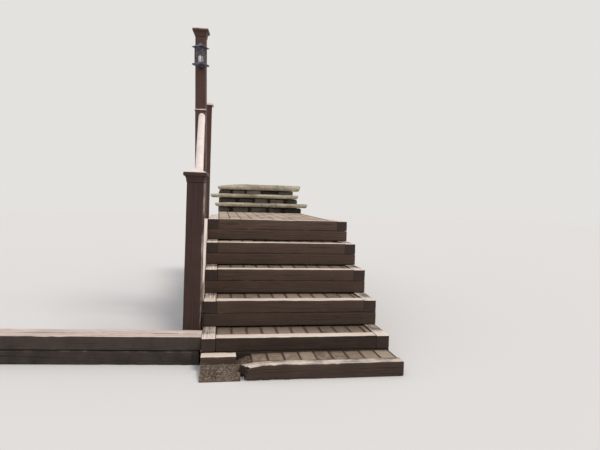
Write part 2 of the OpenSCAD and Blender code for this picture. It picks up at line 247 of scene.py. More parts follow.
def section(width, height, arris, pitch, checks):
    """Outline of a squared timber with eased arrises. Each row holds y, z, the outward direction,
    how near it is to an arris, the number of the drying check on it, its side of that check, the
    direction along the face, and the face: 0 under, 1 far side, 2 top, 3 near side."""
    rows = []
    starts = [np.array(c) for c in ((0.0, 0.0), (width, 0.0), (width, height), (0.0, height))]
    for face in range(4):
        along = np.array((math.cos(face * math.pi / 2), math.sin(face * math.pi / 2))).round(6)
        out = np.array((along[1], -along[0]))
        before, after = arris[face - 1], arris[face]
        run = (width, height)[face % 2] - before - after
        start = starts[face] + along * before
        stops = [(u, -1, 0) for u in np.linspace(0, run, max(3, round(run / pitch) + 1))]
        for number, check in enumerate(checks):
            if check["face"] == face:
                middle = run * check["share"]
                stops = [s for s in stops if abs(s[0] - middle) > 0.005]
                stops += [(middle + side * check["half"], number, side) for side in (-1, 0, 1)]
        for u, number, side in sorted(stops):
            y, z = start + along * u
            edge = 0.6 * math.exp(-min(u, run - u) / 0.004)
            rows.append((y, z, out[0], out[1], edge, number, side, along[0], along[1], face))
        centre = start + along * run - out * after
        for share in (0.25, 0.5, 0.75):
            angle = share * math.pi / 2
            way = out * math.cos(angle) + along * math.sin(angle)
            y, z = centre + way * after
            rows.append((y, z, way[0], way[1], 1.0, -1, 0, 0.0, 0.0, face + 0.5))
    return np.array(rows)


def squared_timber(work, place, length, width, height, rng, arris=0.004, nosing=None, pitch=0.013, step=0.016,
                   checks=4, depth=0.006, swell=0.0012, chips=0.004, worn_top=0.0, worn_front=0.0,
                   worn_far=0.0, shade=None, soiled=0.0):
    """A squared timber along X from 0, with Y across from the near side and Z up, put in place by a
    function. Its faces rise and fall a little along the grain, drying checks run along it, and bits
    are missing from its arrises. worn_top may be a pair, for the end at X = 0 and for the rest."""
    arrises = [arris, arris, nosing or arris, arris]
    splits = []
    for _ in range(checks):
        start = rng.uniform(-0.2, 0.75) * length
        splits.append({
            "face": int(rng.choice([1, 2, 3, 3])), "share": rng.uniform(0.14, 0.86),
            "half": rng.uniform(0.0008, 0.0018), "deep": depth * rng.uniform(0.4, 1.0),
            "start": start, "stop": start + rng.uniform(0.2, 0.7) * length, "seed": fresh_seed(rng),
        })
    ring = section(width, height, arrises, pitch, splits)
    across, up, out_y, out_z, arris_near, check_number, check_side, way_y, way_z, face = ring.T
    ease = min(arris, 0.004)
    inner = np.linspace(0.012, length - 0.012, max(3, round(length / step)))
    stations = np.concatenate([[0, ease * 0.3, ease], inner, [length - ease, length - ease * 0.3, length]])
    x = np.repeat(stations[:, None], len(ring), 1)
    base = np.stack([x, np.broadcast_to(across, x.shape), np.broadcast_to(up, x.shape)], -1)
    seed = fresh_seed(rng)
    long_waves = unevenness(base, (0.5, 0.06, 0.06), seed)
    short_waves = unevenness(base, (0.09, 0.011, 0.011), seed + 1)
    shift = swell * (0.65 * long_waves + 0.35 * short_waves - 1)
    small_bits = unevenness(base, (0.045, 0.3, 0.3), seed + 2)
    large_bits = unevenness(base, (0.3, 0.05, 0.05), seed + 3)
    shift -= chips * arris_near * np.clip(small_bits * 0.6 + large_bits * 0.6 - 0.3, 0, 1)
    near_end = np.clip(1 - np.minimum(x, length - x) / ease, 0, 1)
    shift -= ease * (1 - np.sqrt(1 - near_end**2))
    wander = np.zeros(x.shape)
    line = np.stack([stations, 0 * stations, 0 * stations], -1)
    for number, split in enumerate(splits):
        mine = check_number == number
        opening = np.clip(np.minimum(stations - split["start"], split["stop"] - stations) / 0.1, 0, 1)
        wander[:, mine] = 0.0022 * unevenness(line, (0.12, 1, 1), split["seed"])[:, None]
        deep = split["deep"] * opening * (0.7 + 0.3 * unevenness(line, (0.03, 1, 1), split["seed"] + 5))
        shift[:, mine & (check_side == 0)] -= deep[:, None]
    points = base.copy()
    points[..., 1] += out_y * shift + way_y * wander
    points[..., 2] += out_z * shift + way_z * wander
    pith = np.array([rng.uniform(-9, 9), rng.uniform(0.1, 0.9) * width, rng.uniform(-0.3, 0.7) * height])
    shade = rng.uniform(0, 1) if shade is None else shade
    top = (face > 1.5) & (face < 2.5)
    front = (face > 2.5) & (face < 3.5)
    rounded = np.where(face == 2.5, np.clip(out_z, 0, 1) ** 3, np.where(face == 1.5, 0.6, 0.0))
    at_front, further = worn_top if isinstance(worn_top, tuple) else (worn_top, worn_top)
    trodden = further + (at_front - further) * np.exp(-((x / 0.1) ** 2))
    # the back of the top bleaches less and stays darker: dirt, and painted shade next to the paving
    soil = soiled * np.clip(across / width * 2 - 1, 0, 1)
    trodden = trodden - soil * (0.6 + 0.4 * unevenness(base, (0.11, 0.05, 1), seed + 6))
    # the far side can be paled with the bleached tone: on the posts this is painted light on their sunlit right
    # sides
    sides = np.where(front, worn_front, np.where(face == 1, worn_far, rounded * trodden))
    worn = np.where(top, trodden, sides)
    if at_front >= 0:
        worn = np.maximum(worn, 0.3 * (arris_near > 0.9))
    work.add(place(points.reshape(-1, 3)), [skin(len(stations), len(ring))], points - pith, shade, worn.ravel())
    for row, flip in ((points[0], True), (points[-1], False)):
        rows, faces = end_cap(row, flip)
        saw_marks = 0.0012 * unevenness(rows[len(row):], (1, 0.008, 0.008), seed + 4)
        rows[len(row):, 0] += saw_marks + (0.0008 if flip else -0.0008)
        work.add(place(rows), faces, rows - pith, shade, end=1.0)


def along_x(low, high):
    """Puts a timber in a box, its length along X."""
    return (lambda points: points + low), *(high - low)


def along_y(low, high):
    """Puts a timber in a box, its length along Y and its near side towards +X."""
    def place(points):
        return np.stack([high[0] - points[:, 1], low[1] + points[:, 0], low[2] + points[:, 2]], 1)
    size = high - low
    return place, size[1], size[0], size[2]


def upright(matrix, width, height):
    """Stands a square timber on end in a post's frame, its near side to the left."""
    def place(points):
        turned = np.stack([points[:, 1] - width / 2, points[:, 2] - width / 2, points[:, 0]], 1)
        return placed(turned, matrix)
    return place, height, width, width


def timber_piece(name, slot, finish, node, place, rng, **look):
    """A piece of one squared timber. place says how it is put in place, and its length, width and
    height, as along_x gives them."""
    work = Workpiece()
    squared_timber(work, *place, rng, **look)
    work.piece(name, [finish], slot, node)


def post_piece(name, node, **look):
    """A piece of one squared post. Gives the post's frame and width."""
    matrix, width, height = post_frame(node)
    rng = np.random.default_rng(SEED[name])
    timber_piece(name, "post_wood", post_wood(), node, upright(matrix, width, height), rng, arris=0.003,
                 pitch=0.014, step=0.03, **look)
    return matrix, width


# ---- turned, moulded and cut forms ---------------------------------------------------------------


def square_ring(half, radius, flats):
    """A square outline with rounded corners, anticlockwise from above."""
    ring = []
    for side in range(4):
        turn = Matrix.Rotation(side * math.pi / 2, 2)
        for share in np.linspace(-1, 1, flats + 1)[1:-1]:
            ring.append(turn @ Vector(((half - radius) * share, -half)))
        for angle in (-80, -45, -10):
            bend = math.radians(angle)
            away = half - radius
            ring.append(turn @ Vector((away + radius * math.cos(bend), radius * math.sin(bend) - away)))
    return np.array([tuple(v) for v in ring])


def square_moulding(work, matrix, rows, radius, flats, shade, worn, uneven=0.0, seed=1):
    """A form of square plan from rows of half width and height, mitred at its corners."""
    rings = []
    for half, z in rows:
        half = max(half, 0.0004)
        flat = square_ring(half, min(radius, half * 0.4), flats)
        rings.append(np.column_stack([flat, np.full(len(flat), z)]))
    points = np.array(rings)
    if uneven:
        points[..., :2] *= 1 + uneven * unevenness(points, (0.05, 0.05, 0.05), seed)[..., None]
    lofted(work, points, matrix, (shade, shade), worn)


def post_trim(name, node, lifted, rows, shade, worn, radius=0.002, **look):
    """A piece of one moulding round a post or on it, in the posts' wood."""
    work = Workpiece()
    square_moulding(work, lifted, rows, radius, 7, shade, worn, **look)
    work.piece(name, [post_wood()], "post_wood", node)


def lathe(work, matrix, rows, sides, shade=0.5):
    """A round form from rows of radius and height."""
    angle = np.linspace(0, 2 * math.pi, sides, endpoint=False)
    circle = np.column_stack([np.cos(angle), np.sin(angle)])
    points = np.array([np.column_stack([radius * circle, np.full(sides, z)]) for radius, z in rows])
    lofted(work, points, matrix, (shade, shade), [0.0] * len(rows), (1.0, 0.5))


def edged_bar(work, matrix, start, end, width, height, up, arris=0.001):
    """A straight bar with cut arrises between two points of a frame; up is its way up in space."""
    start, end = (Vector(spot) for spot in placed(np.array([start, end]), matrix))
    along = (end - start).normalized()
    side = along.cross(Vector(up)).normalized()
    up = side.cross(along)
    w, h = width / 2, height / 2
    right = [(w - arris, -h), (w, arris - h), (w, h - arris), (w - arris, h)]
    flat = right + [(-a, b) for a, b in reversed(right)]
    rows = []
    for place, shrink in ((start, arris), (start + along * arris, 0), (end - along * arris, 0), (end, arris)):
        rows.append([place + side * (a - math.copysign(shrink, a)) + up * (b - math.copysign(shrink, b))
                     for a, b in flat])
    work.add(rows, [skin(4, 8)[:, ::-1], [range(8)], [range(31, 23, -1)]])


# ---- stone and paving ---------------------------------------------------------------------------


def block_shell(cuts):
    """Points and faces of a cube's surface from -1 to 1, each side cut into squares."""
    ticks = np.linspace(-1, 1, cuts + 1)
    a, b = np.meshgrid(ticks, ticks, indexing="ij")
    points, faces = [], []
    for axis in range(3):
        for sign in (-1, 1):
            side = np.zeros((cuts + 1, cuts + 1, 3))
            side[..., axis] = sign
            side[..., (axis + 1) % 3] = a
            side[..., (axis + 2) % 3] = b
            quads = skin(cuts + 1, cuts + 1, closed=False, first=len(points) * (cuts + 1) ** 2)
            faces.append(quads[:, ::-1] if sign > 0 else quads)
            points.append(side.reshape(-1, 3))
    points = np.concatenate(points).round(6)
    points, index = np.unique(points, axis=0, return_inverse=True)
    return points, index.ravel()[np.concatenate(faces)]


SHELLS = {cuts: block_shell(cuts) for cuts in (4, 6)}


def rough_stone(work, low, high, rng, square, rough=0.035):
    """A field stone that fills a box: a block with broken corners and an uneven skin."""
    cube, faces = SHELLS[6]
    points = cube / (np.abs(cube) ** square).sum(1, keepdims=True) ** (1 / square)
    skew = rng.uniform(-0.1, 0.1, (3, 3))
    np.fill_diagonal(skew, 0)
    points = points * (1 - np.abs(skew).sum(1)) + points * (cube @ skew.T)
    size = (high - low) / 2
    seed = fresh_seed(rng)
    large = unevenness(points * size, size * 0.9, seed)
    small = unevenness(points * size, size * 0.9 * 0.3, seed + 1)
    bulge = 1 - rough + rough * large + 0.3 * rough * small
    points = points * size * bulge[:, None] + (high + low) / 2
    work.add(points, [faces], points, rng.uniform(0, 1))
# a small stone starts as the twelve corners of a regular form of twenty triangles
ICO = (1 + 5**0.5) / 2
PEBBLE = np.array([
    (-1, ICO, 0), (1, ICO, 0), (-1, -ICO, 0), (1, -ICO, 0), (0, -1, ICO), (0, 1, ICO), (0, -1, -ICO), (0, 1, -ICO),
    (ICO, 0, -1), (ICO, 0, 1), (-ICO, 0, -1), (-ICO, 0, 1)]) / math.hypot(1, ICO)


PEBBLE_FACES = np.array([
    (0, 11, 5), (0, 5, 1), (0, 1, 7), (0, 7, 10), (0, 10, 11), (1, 5, 9), (5, 11, 4), (11, 10, 2), (10, 7, 6),
    (7, 1, 8), (3, 9, 4), (3, 4, 2), (3, 2, 6), (3, 6, 8), (3, 8, 9), (4, 9, 5), (2, 4, 11), (6, 2, 10), (8, 6, 7),
    (9, 8, 1)])


def scattered_stones(work, centres, sizes, rng, finish):
    """Small angular stones at the given places, half sunk."""
    count = len(centres)
    shape = PEBBLE * (1 + rng.uniform(-0.22, 0.22, (count, 12, 1)))
    shape = shape * sizes[:, None, None] * rng.uniform((0.4, 0.3, 0.2), (0.65, 0.55, 0.42), (count, 3))[:, None]
    turn, tilt = rng.uniform(0, 2 * math.pi, count), rng.uniform(-0.4, 0.4, count)
    for a, b, angle in ((0, 2, tilt), (0, 1, turn)):
        c, s = np.cos(angle)[:, None], np.sin(angle)[:, None]
        first, second = shape[..., a] * c - shape[..., b] * s, shape[..., a] * s + shape[..., b] * c
        shape[..., a], shape[..., b] = first, second
    points = (shape + centres[:, None]).reshape(-1, 3)
    faces = (PEBBLE_FACES[None] + 12 * np.arange(count)[:, None, None]).reshape(-1, 3)
    work.add(points, [faces], points, np.repeat(rng.uniform(0, 1, count), 12), 0, 0, finish)


def paver(work, centre, size, tilt, rng, shade, soil, arris=0.0035):
    """A clay paver, its top at the centre given: a slightly warped top, worn arrises with chips."""
    half = np.array(size[:2]) / 2
    ring = []
    for start, end in (((-1, -1), (1, -1)), ((1, -1), (1, 1)), ((1, 1), (-1, 1)), ((-1, 1), (-1, -1))):
        a, b = np.array(start) * half, np.array(end) * half
        way = (b - a) / np.linalg.norm(b - a)
        cuts = max(3, round(np.linalg.norm(b - a) / 0.013))
        ring += list(np.linspace(a + way * 0.004, b - way * 0.004, cuts))
    ring = np.array(ring)
    seed = fresh_seed(rng)
    outward = np.sign(ring) * (np.abs(ring) > half - 0.0005)
    flat = np.column_stack([ring, 0 * ring[:, 0]])
    small, large = unevenness(flat, (0.018, 0.018, 1), seed), unevenness(flat, (0.05, 0.05, 1), seed + 1)
    chip = np.clip(small + 0.6 * large - 0.55, 0, 1) * 0.007
    rows, dirt = [], []
    chipped = 0.012  # how far down the sides chips reach
    for inset, deep in ((0, -size[2]), (0, -chipped), (0, -arris), (arris * 0.3, -arris * 0.3), (arris, 0),
                        (arris + 0.006, 0)):
        near = max(0.0, 1 + deep / chipped)
        rows.append(np.column_stack([ring - outward * (inset + chip * near)[:, None], deep - 0.5 * chip * near]))
        dirt.append(1.0 if inset < arris else 0.55 if inset == arris else 0.2)
    for share in (0.72, 0.45, 0.2):
        rows.append(np.column_stack([ring * share, 0 * chip]))
        dirt.append(0.0)
    points = np.array(rows)
    warp = unevenness(points[4:], (0.05, 0.06, 1), seed + 2)
    pits = unevenness(points[4:], (0.012, 0.012, 1), seed + 3)
    points[4:, :, 2] += 0.0007 * warp + 0.0004 * pits
    points[..., 2] += points[..., 0] * tilt[0] + points[..., 1] * tilt[1]
    points += centre
    own = points - centre + np.array((rng.uniform(0, 9), rng.uniform(0, 9), 0))
    count = len(ring)
    soiled = np.array(dirt)[:, None] + soil(points[..., 1])
    work.add(points.reshape(-1, 3), [skin(len(rows), count)], own.reshape(-1, 3), shade, soiled.ravel(), 0, 1)
    for row, flip, level in ((points[0], True, soiled[0].mean()), (points[-1], False, soiled[-1].mean())):
        cap, faces = end_cap(row, flip, (1.0,))
        work.add(cap, faces, cap - centre + own[0, 0] - (points[0, 0] - centre), shade, level, 0, 1)


def paved(work, low, high, height, first, module, joint, rng, tones, soil, stagger=False):
    """Pavers laid over a box with their length front to back, their tops at height(x, y), over a bed that fills the
    joints most of the way. The function of y alone gives how much darker they are from front to back: dirt, and
    painted shade at the back of a tread under the next riser; below zero it paints them cleaner, as painted
    sunlight on the landing."""
    least, thick = 0.02, 0.05  # no paver is cut narrower or shorter than the first
    lines = np.arange(first, high[0] + module[0], module[0])
    edges = np.unique(np.clip(np.concatenate([[low[0]], lines, [high[0]]]), low[0], high[0]).round(4))
    for column, (a, b) in enumerate(zip(edges, edges[1:])):
        if b - a < least:
            continue
        start = low[1] - (module[1] / 2 if stagger and column % 2 else 0)
        ends = np.concatenate([np.arange(start, high[1] + module[1], module[1]), [high[1]]])
        ends = np.unique(np.clip(ends, low[1], high[1]).round(4))
        if len(ends) > 2 and ends[-1] - ends[-2] < least:
            ends = np.delete(ends, -2)
        for c, d in zip(ends, ends[1:]):
            x, y = (a + b) / 2, (c + d) / 2
            slope = (height(x, y + 0.01) - height(x, y - 0.01)) / 0.02
            tilt = rng.uniform(-0.012, 0.012), slope + rng.uniform(-0.008, 0.008)
            top = height(x, y) - rng.uniform(0.0008, 0.0028)
            top -= 0.5 * (abs(tilt[0]) * (b - a) + abs(tilt[1] - slope) * (d - c))
            size = b - a - joint, d - c - joint, thick
            paver(work, np.array((x, y, top)), size, tilt, rng, rng.uniform(*tones), soil)


def bed(work, low, high, height, cell, rng, stones, small, large, uneven=1.0):
    """A bed of sand, grit and earth in a box: an uneven top given by height(x, y), sides down to the
    box's floor, and loose stones in the surface."""
    nx, ny = max(2, round((high[0] - low[0]) / cell)), max(2, round((high[1] - low[1]) / cell))
    ticks = np.linspace(low[0], high[0], nx + 1), np.linspace(low[1], high[1], ny + 1)
    x, y = np.meshgrid(*ticks, indexing="ij")
    seed = fresh_seed(rng)

    def surface(x, y):
        flat = np.stack([x, y, 0 * x], -1)
        lumps, grit = unevenness(flat, (0.07, 0.05, 1), seed), unevenness(flat, (0.014, 0.014, 1), seed + 1)
        return height(x, y) + uneven * (0.0022 * lumps + 0.0014 * grit)

    top = np.stack([x, y, surface(x, y)], -1).reshape(-1, 3)
    work.add(top, [skin(nx + 1, ny + 1, closed=False)[:, ::-1]])
    index = np.arange((nx + 1) * (ny + 1)).reshape(nx + 1, ny + 1)
    rim = np.concatenate([index[:, 0], index[-1, 1:], index[-2::-1, -1], index[0, -2:0:-1]])
    upper = top[rim]
    lower = np.column_stack([upper[:, :2], np.full(len(rim), low[2])])
    count = len(rim)
    j = np.arange(count)
    wall = np.stack([j, (j + 1) % count, count + (j + 1) % count, count + j], 1)
    work.add(np.concatenate([upper, lower]), [wall[:, ::-1]], shade=0.4)
    floor, faces = end_cap(lower, True, (1.0,))
    work.add(floor, faces, shade=0.4)
    size = small + (large - small) * rng.uniform(0, 1, stones) ** 3
    px, py = (rng.uniform(low[axis] + 0.006, high[axis] - 0.006, stones) for axis in (0, 1))
    centres = np.column_stack([px, py, surface(px, py) + size * rng.uniform(-0.05, 0.18, stones)])
    scattered_stones(work, centres, size, rng, 2)


# ---- finishes -----------------------------------------------------------------------------------


def srgb(code):
    """A colour written as sRGB hex, turned to linear. A colour of the panel is linear already."""
    if not isinstance(code, str):
        return (*code, 1.0)
    parts = [int(code[i : i + 2], 16) / 255 for i in (1, 3, 5)]
    return (*[p / 12.92 if p <= 0.04045 else ((p + 0.055) / 1.055) ** 2.4 for p in parts], 1.0)


# settings that a node of the kind has here unless its call says otherwise
USUAL = {"Mix": {"data_type": "RGBA"}, "Math": {"operation": "MULTIPLY_ADD"},
         "VectorMath": {"operation": "MULTIPLY"}}


def add_node(tree, kind, *values, **named):
    """Adds one shader node. Plain values go to its sockets in use, in their order. A name with a
    capital is a socket's, with _ for a blank, and any other is a setting's. A value may be a socket
    or a node, which is linked by its first output in use."""
    node = tree.nodes.new("ShaderNode" + kind)
    named = {**USUAL.get(kind, {}), **named}
    for name in [name for name in named if name[0].islower()]:
        setattr(node, name, named.pop(name))
    sockets = [socket for socket in node.inputs if socket.enabled][:len(values)]
    sockets += [node.inputs[name.replace("_", " ")] for name in named]
    for socket, value in zip(sockets, (*values, *named.values())):
        if isinstance(value, bpy.types.Node):
            value = next(output for output in value.outputs if output.enabled)
        if isinstance(value, bpy.types.NodeSocket):
            tree.links.new(value, socket)
        else:
            socket.default_value = value
    return node


def new_finish(name, *labels):
    """A new material, its adder of nodes, and the mesh's attribute for each label."""
    finish = bpy.data.materials.new(name)
    finish.use_nodes = True
    finish.node_tree.nodes.clear()
    add = functools.partial(add_node, finish.node_tree)
    return finish, add, *(add("Attribute", attribute_name=label).outputs["Vector"] for label in labels)


def surfaced(finish, **surface):
    """Ends a material with its shader: what is linked to it, and its uniform values."""
    shader = add_node(finish.node_tree, "BsdfPrincipled", **surface)
    add_node(finish.node_tree, "OutputMaterial", Surface=shader)
    return finish


FINISHES = {}


def finish_named(name, make, *values, **more):
    """Makes a finish once and hands it out again."""
    if name not in FINISHES:
        FINISHES[name] = make(name, *values, **more)
    return FINISHES[name]


def weathered_timber(name, dark, light, bleached, sawn_end, ring_mm=9.0, lines=0.28, patches=0.35, rough=0.82,
                     algae=0.0,
                     sheen=0.3):
    """Softwood left outside: stained or greyed faces with growth lines, bleached where feet and rain
    wear the top, darker sawn ends with rings and radial checks. Dry wood is dull, so it is rough."""
    finish, add, grain, state = new_finish(name, "grain", "state")
    shade, worn, sawn = add("SeparateXYZ", state).outputs
    # fibres: streaks 7 mm wide and 0.4 m long, the narrowest that a picture of the whole flight shows
    stretched = add("VectorMath", grain, (2.5, 140.0, 140.0))
    fibre = add("TexNoise", stretched, Scale=1.0, Detail=5.0, Roughness=0.62)
    # growth lines: the distance from the pith, bent a little along the timber
    radial = add("VectorMath", grain, (0.0, 1.0, 1.0))
    reach = add("VectorMath", radial, operation="LENGTH")
    slow = add("VectorMath", grain, (2.2, 9.0, 9.0))
    bend = add("TexNoise", slow, Scale=1.0, Detail=2.0)
    bent = add("Math", bend, 0.035, reach)
    turns = add("Math", bent, 2 * math.pi / (ring_mm / 1000), operation="MULTIPLY")
    wave = add("Math", turns, operation="SINE")
    ring = add("MapRange", wave, From_Min=-1.0, From_Max=1.0, interpolation_type="SMOOTHSTEP")
    # hairline checks: dark slits 1 to 2 mm wide
    slit_at = add("VectorMath", grain, (2.6, 130.0, 130.0))
    slit = add("TexNoise", slit_at, Scale=1.0, Detail=3.0, Roughness=0.45)
    slit = add("MapRange", slit, From_Min=0.32, From_Max=0.37, To_Min=1.0, To_Max=0.0)
    # blotches of damp and dirt, 60 to 200 mm
    blotch = add("TexNoise", grain, Scale=8.0, Detail=4.0, Roughness=0.6)
    tint = add("Math", shade, 0.45, 0.175 - patches / 2)
    tint = add("Math", fibre, 0.5, tint)
    tint = add("Math", blotch, patches, tint)
    tint = add("MapRange", tint, From_Min=0.25, From_Max=1.0)
    colour = add("Mix", tint, srgb(dark), srgb(light))
    late = add("Math", ring, lines, operation="MULTIPLY")
    colour = add("Mix", late, colour, srgb(dark))
    # the bleached top, broken up along the fibres
    ragged = add("Math", fibre, 0.5, worn)
    ragged = add("Math", blotch, 0.8, ragged)
    pale = add("MapRange", ragged, From_Min=0.95, From_Max=1.45, To_Max=1.0, interpolation_type="SMOOTHSTEP")
    streak = add("MapRange", fibre, From_Min=0.3, From_Max=0.68)
    pale_tone = add("Mix", streak, srgb(bleached[0]), srgb(bleached[1]))
    colour = add("Mix", pale, colour, pale_tone)
    slit_share = add("Math", slit, 0.5, operation="MULTIPLY")
    colour = add("Mix", slit_share, colour, srgb("#1d1714"))
    end_tone = add("Mix", ring, srgb(sawn_end[0]), srgb(sawn_end[1]))
    colour = add("Mix", sawn, colour, end_tone)
    if algae:
        green = add("TexNoise", grain, Scale=22.0, Detail=5.0, Roughness=0.7)
        green = add("MapRange", green, From_Min=0.52, From_Max=0.68, To_Max=algae)
        colour = add("Mix", green, colour, srgb("#565338"))
    height = add("Math", ring, 0.35, fibre)
    height = add("Math", slit, -0.9, height)
    bump = add("Bump", Height=height, Distance=0.0012, Strength=0.7)
    gloss = add("Math", fibre, 0.22, rough - 0.1)
    return surfaced(finish, Base_Color=colour, Roughness=gloss, Normal=bump, IOR=1.5, Specular_IOR_Level=sheen)


def trodden_earth(name, earth, stone, dust):
    """Bedding sand and earth trodden hard, with grit of 4 to 12 mm showing in it; dull and dusty."""
    finish, add, place = new_finish(name, "grain")
    grit = add("TexVoronoi", place, Scale=110.0, Randomness=1.0)
    grey = add("SeparateColor", grit.outputs["Color"])
    patch = add("TexNoise", place, Scale=9.0, Detail=6.0, Roughness=0.65)
    fine = add("TexNoise", place, Scale=190.0, Detail=3.0)
    shown = add("MapRange", grey, From_Min=0.55, From_Max=0.95)
    patch = add("MapRange", patch, From_Min=0.35, From_Max=0.68)
    colour = add("Mix", patch, srgb(earth), srgb(dust))
    colour = add("Mix", shown, colour, srgb(stone))
    dark = add("MapRange", fine, From_Min=0.3, From_Max=0.6, To_Min=0.62, To_Max=1.0)
    colour = add("Mix", 1.0, colour, dark, blend_type="MULTIPLY")
    away = add("Math", grit.outputs["Distance"], -0.8, fine)
    bump = add("Bump", Height=away, Distance=0.003, Strength=0.8)
    return surfaced(finish, Base_Color=colour, Normal=bump, Roughness=0.93, IOR=1.5, Specular_IOR_Level=0.2)


def fired_clay(name, body, dust, dirt):
    """Clay pavers, pressed and fired: each has its own kiln tone, a sandy dull face, dust trodden
    into the top and earth along the arrises."""
    finish, add, place, state = new_finish(name, "grain", "state")
    shade, worn, _ = add("SeparateXYZ", state).outputs
    ramp = add("ValToRGB", shade)
    points = ramp.color_ramp.elements
    points.new(0.5)
    for point, position, code in zip(points, (0.0, 0.5, 1.0), body):
        point.position, point.color = position, srgb(code)
    # sand grains are 0.5 to 1 mm, drawn 4 mm wide so that a view of a whole tread shows them
    grit = add("TexNoise", place, Scale=230.0, Detail=4.0, Roughness=0.7)
    cloud = add("TexNoise", place, Scale=19.0, Detail=5.0, Roughness=0.62)
    dusty = add("MapRange", cloud, From_Min=0.42, From_Max=0.7, To_Max=0.6)
    colour = add("Mix", dusty, ramp.outputs[0], srgb(dust))
    dark = add("MapRange", grit, From_Min=0.3, From_Max=0.6, To_Min=0.7, To_Max=1.05)
    colour = add("Mix", 1.0, colour, dark, blend_type="MULTIPLY")
    # the dirt colour covers the arrises and the darker backs of the treads, where it is painted shade as well as
    # dirt; a share below zero paints a paver cleaner, as painted sunlight on the landing
    earth = add("Math", cloud, 0.9, worn)
    earth = add("MapRange", earth, From_Min=0.55, From_Max=1.35, To_Max=0.9)
    colour = add("Mix", earth, colour, srgb(dirt))
    height = add("Math", cloud, 0.8, grit)
    bump = add("Bump", Height=height, Distance=0.0012, Strength=0.7)
    gloss = add("Math", grit, 0.15, 0.78)
    return surfaced(finish, Base_Color=colour, Roughness=gloss, Normal=bump, IOR=1.5, Specular_IOR_Level=0.25)


def natural_stone(name, tones, grit, lump, lichen=None):
    """Split or field stone: every stone has its own tone, with mineral grit and, on the slabs, split
    layers, dark weather stains and pale lichen. A dry broken face is rough."""
    finish, add, place, state = new_finish(name, "grain", "state")
    shade = add("SeparateXYZ", state)
    fine = add("TexNoise", place, Scale=grit, Detail=6.0, Roughness=0.68)
    slow = add("TexNoise", place, Scale=lump, Detail=4.0, Roughness=0.6)
    tone = add("Math", shade, 0.7, operation="MULTIPLY")
    tone = add("Math", slow, 0.6, tone)
    ramp = add("ValToRGB", tone)
    points = ramp.color_ramp.elements
    for number, code in enumerate(tones):
        if number > 1:
            points.new(0.5)
        points[number].position = 0.15 + 0.85 * number / (len(tones) - 1)
        points[number].color = srgb(code)
    dark = add("MapRange", fine, From_Min=0.32, From_Max=0.66, To_Min=0.55, To_Max=1.12)
    colour = add("Mix", 1.0, ramp.outputs[0], dark, blend_type="MULTIPLY")
    if lichen:
        # stains 100 to 300 mm across, with frayed edges
        stain = add("TexNoise", place, Scale=4.5, Detail=7.0, Roughness=0.7)
        split = add("MapRange", stain, From_Min=0.5, From_Max=0.56, interpolation_type="SMOOTHSTEP")
        stain = add("MapRange", stain, From_Min=0.48, From_Max=0.66, To_Max=0.75)
        colour = add("Mix", stain, colour, srgb(tones[1]))
        slow = add("Math", split, 0.8, slow)
        spot = add("TexNoise", place, Scale=34.0, Detail=5.0, Roughness=0.75)
        spot = add("MapRange", spot, From_Min=0.54, From_Max=0.64, To_Max=0.75)
        colour = add("Mix", spot, colour, srgb(lichen))
    height = add("Math", slow, 1.6, fine)
    bump = add("Bump", Height=height, Distance=0.004, Strength=0.75)
    gloss = add("Math", fine, 0.2, 0.78)
    return surfaced(finish, Base_Color=colour, Roughness=gloss, Normal=bump, IOR=1.55, Specular_IOR_Level=0.3)


def worn_paint(name, paint, dirt, bare):
    """Exterior paint on a softwood rail, brushed on and worn: satin where hands rub it, with the
    wood's lines showing through and flaked along the fibres."""
    finish, add, grain = new_finish(name, "grain")
    stretched = add("VectorMath", grain, (3.0, 120.0, 120.0))
    fibre = add("TexNoise", stretched, Scale=1.0, Detail=5.0, Roughness=0.6)
    cloud = add("TexNoise", grain, Scale=14.0, Detail=4.0)
    grime = add("MapRange", cloud, From_Min=0.42, From_Max=0.75, To_Max=0.55)
    colour = add("Mix", grime, srgb(paint), srgb(dirt))
    both = add("Math", cloud, 0.5, fibre)
    flake = add("MapRange", both, From_Min=0.97, From_Max=1.02, To_Max=0.7)
    colour = add("Mix", flake, colour, srgb(bare))
    height = add("Math", flake, -0.8, fibre)
    bump = add("Bump", Height=height, Distance=0.0006, Strength=0.6)
    gloss = add("Math", flake, 0.35, 0.45)
    return surfaced(finish, Base_Color=colour, Roughness=gloss, Normal=bump, IOR=1.5, Specular_IOR_Level=0.45)


def painted_sheet_metal(name, coat, chalk):
    """Folded sheet metal with dark satin paint, chalky in patches. Where the roof and the tray's lip face up it is
    painted paler, as a painted reflection of the sky.
    """
    finish, add, place, state = new_finish(name, "grain", "state")
    worn = add("SeparateXYZ", state).outputs[1]
    cloud = add("TexNoise", place, Scale=45.0, Detail=5.0, Roughness=0.65)
    # faces marked as worn take more of the pale colour: this is painted sky reflection
    share = add("Math", worn, 0.2, cloud)
    share = add("MapRange", share, From_Min=0.42, From_Max=0.72, To_Max=0.75)
    colour = add("Mix", share, srgb(coat), srgb(chalk))
    gloss = add("Math", share, 0.35, 0.3)
    fine = add("TexNoise", place, Scale=260.0, Detail=3.0)
    bump = add("Bump", Height=fine, Distance=0.0002, Strength=0.4)
    return surfaced(finish, Base_Color=colour, Roughness=gloss, Normal=bump, IOR=1.5, Specular_IOR_Level=0.6)


def window_glass(name):
    """Thin drawn window glass with a little dust: mostly clear, glossy, paler where dust lies."""
    finish, add, place = new_finish(name, "grain")
    dust = add("TexNoise", place, Scale=60.0, Detail=4.0)
    gloss = add("MapRange", dust, From_Min=0.4, From_Max=0.75, To_Min=0.03, To_Max=0.16)
    shown = add("MapRange", dust, From_Min=0.35, From_Max=0.8, To_Min=0.05, To_Max=0.15)
    return surfaced(finish, Roughness=gloss, Alpha=shown, Base_Color=srgb("#8d9299"), IOR=1.45)


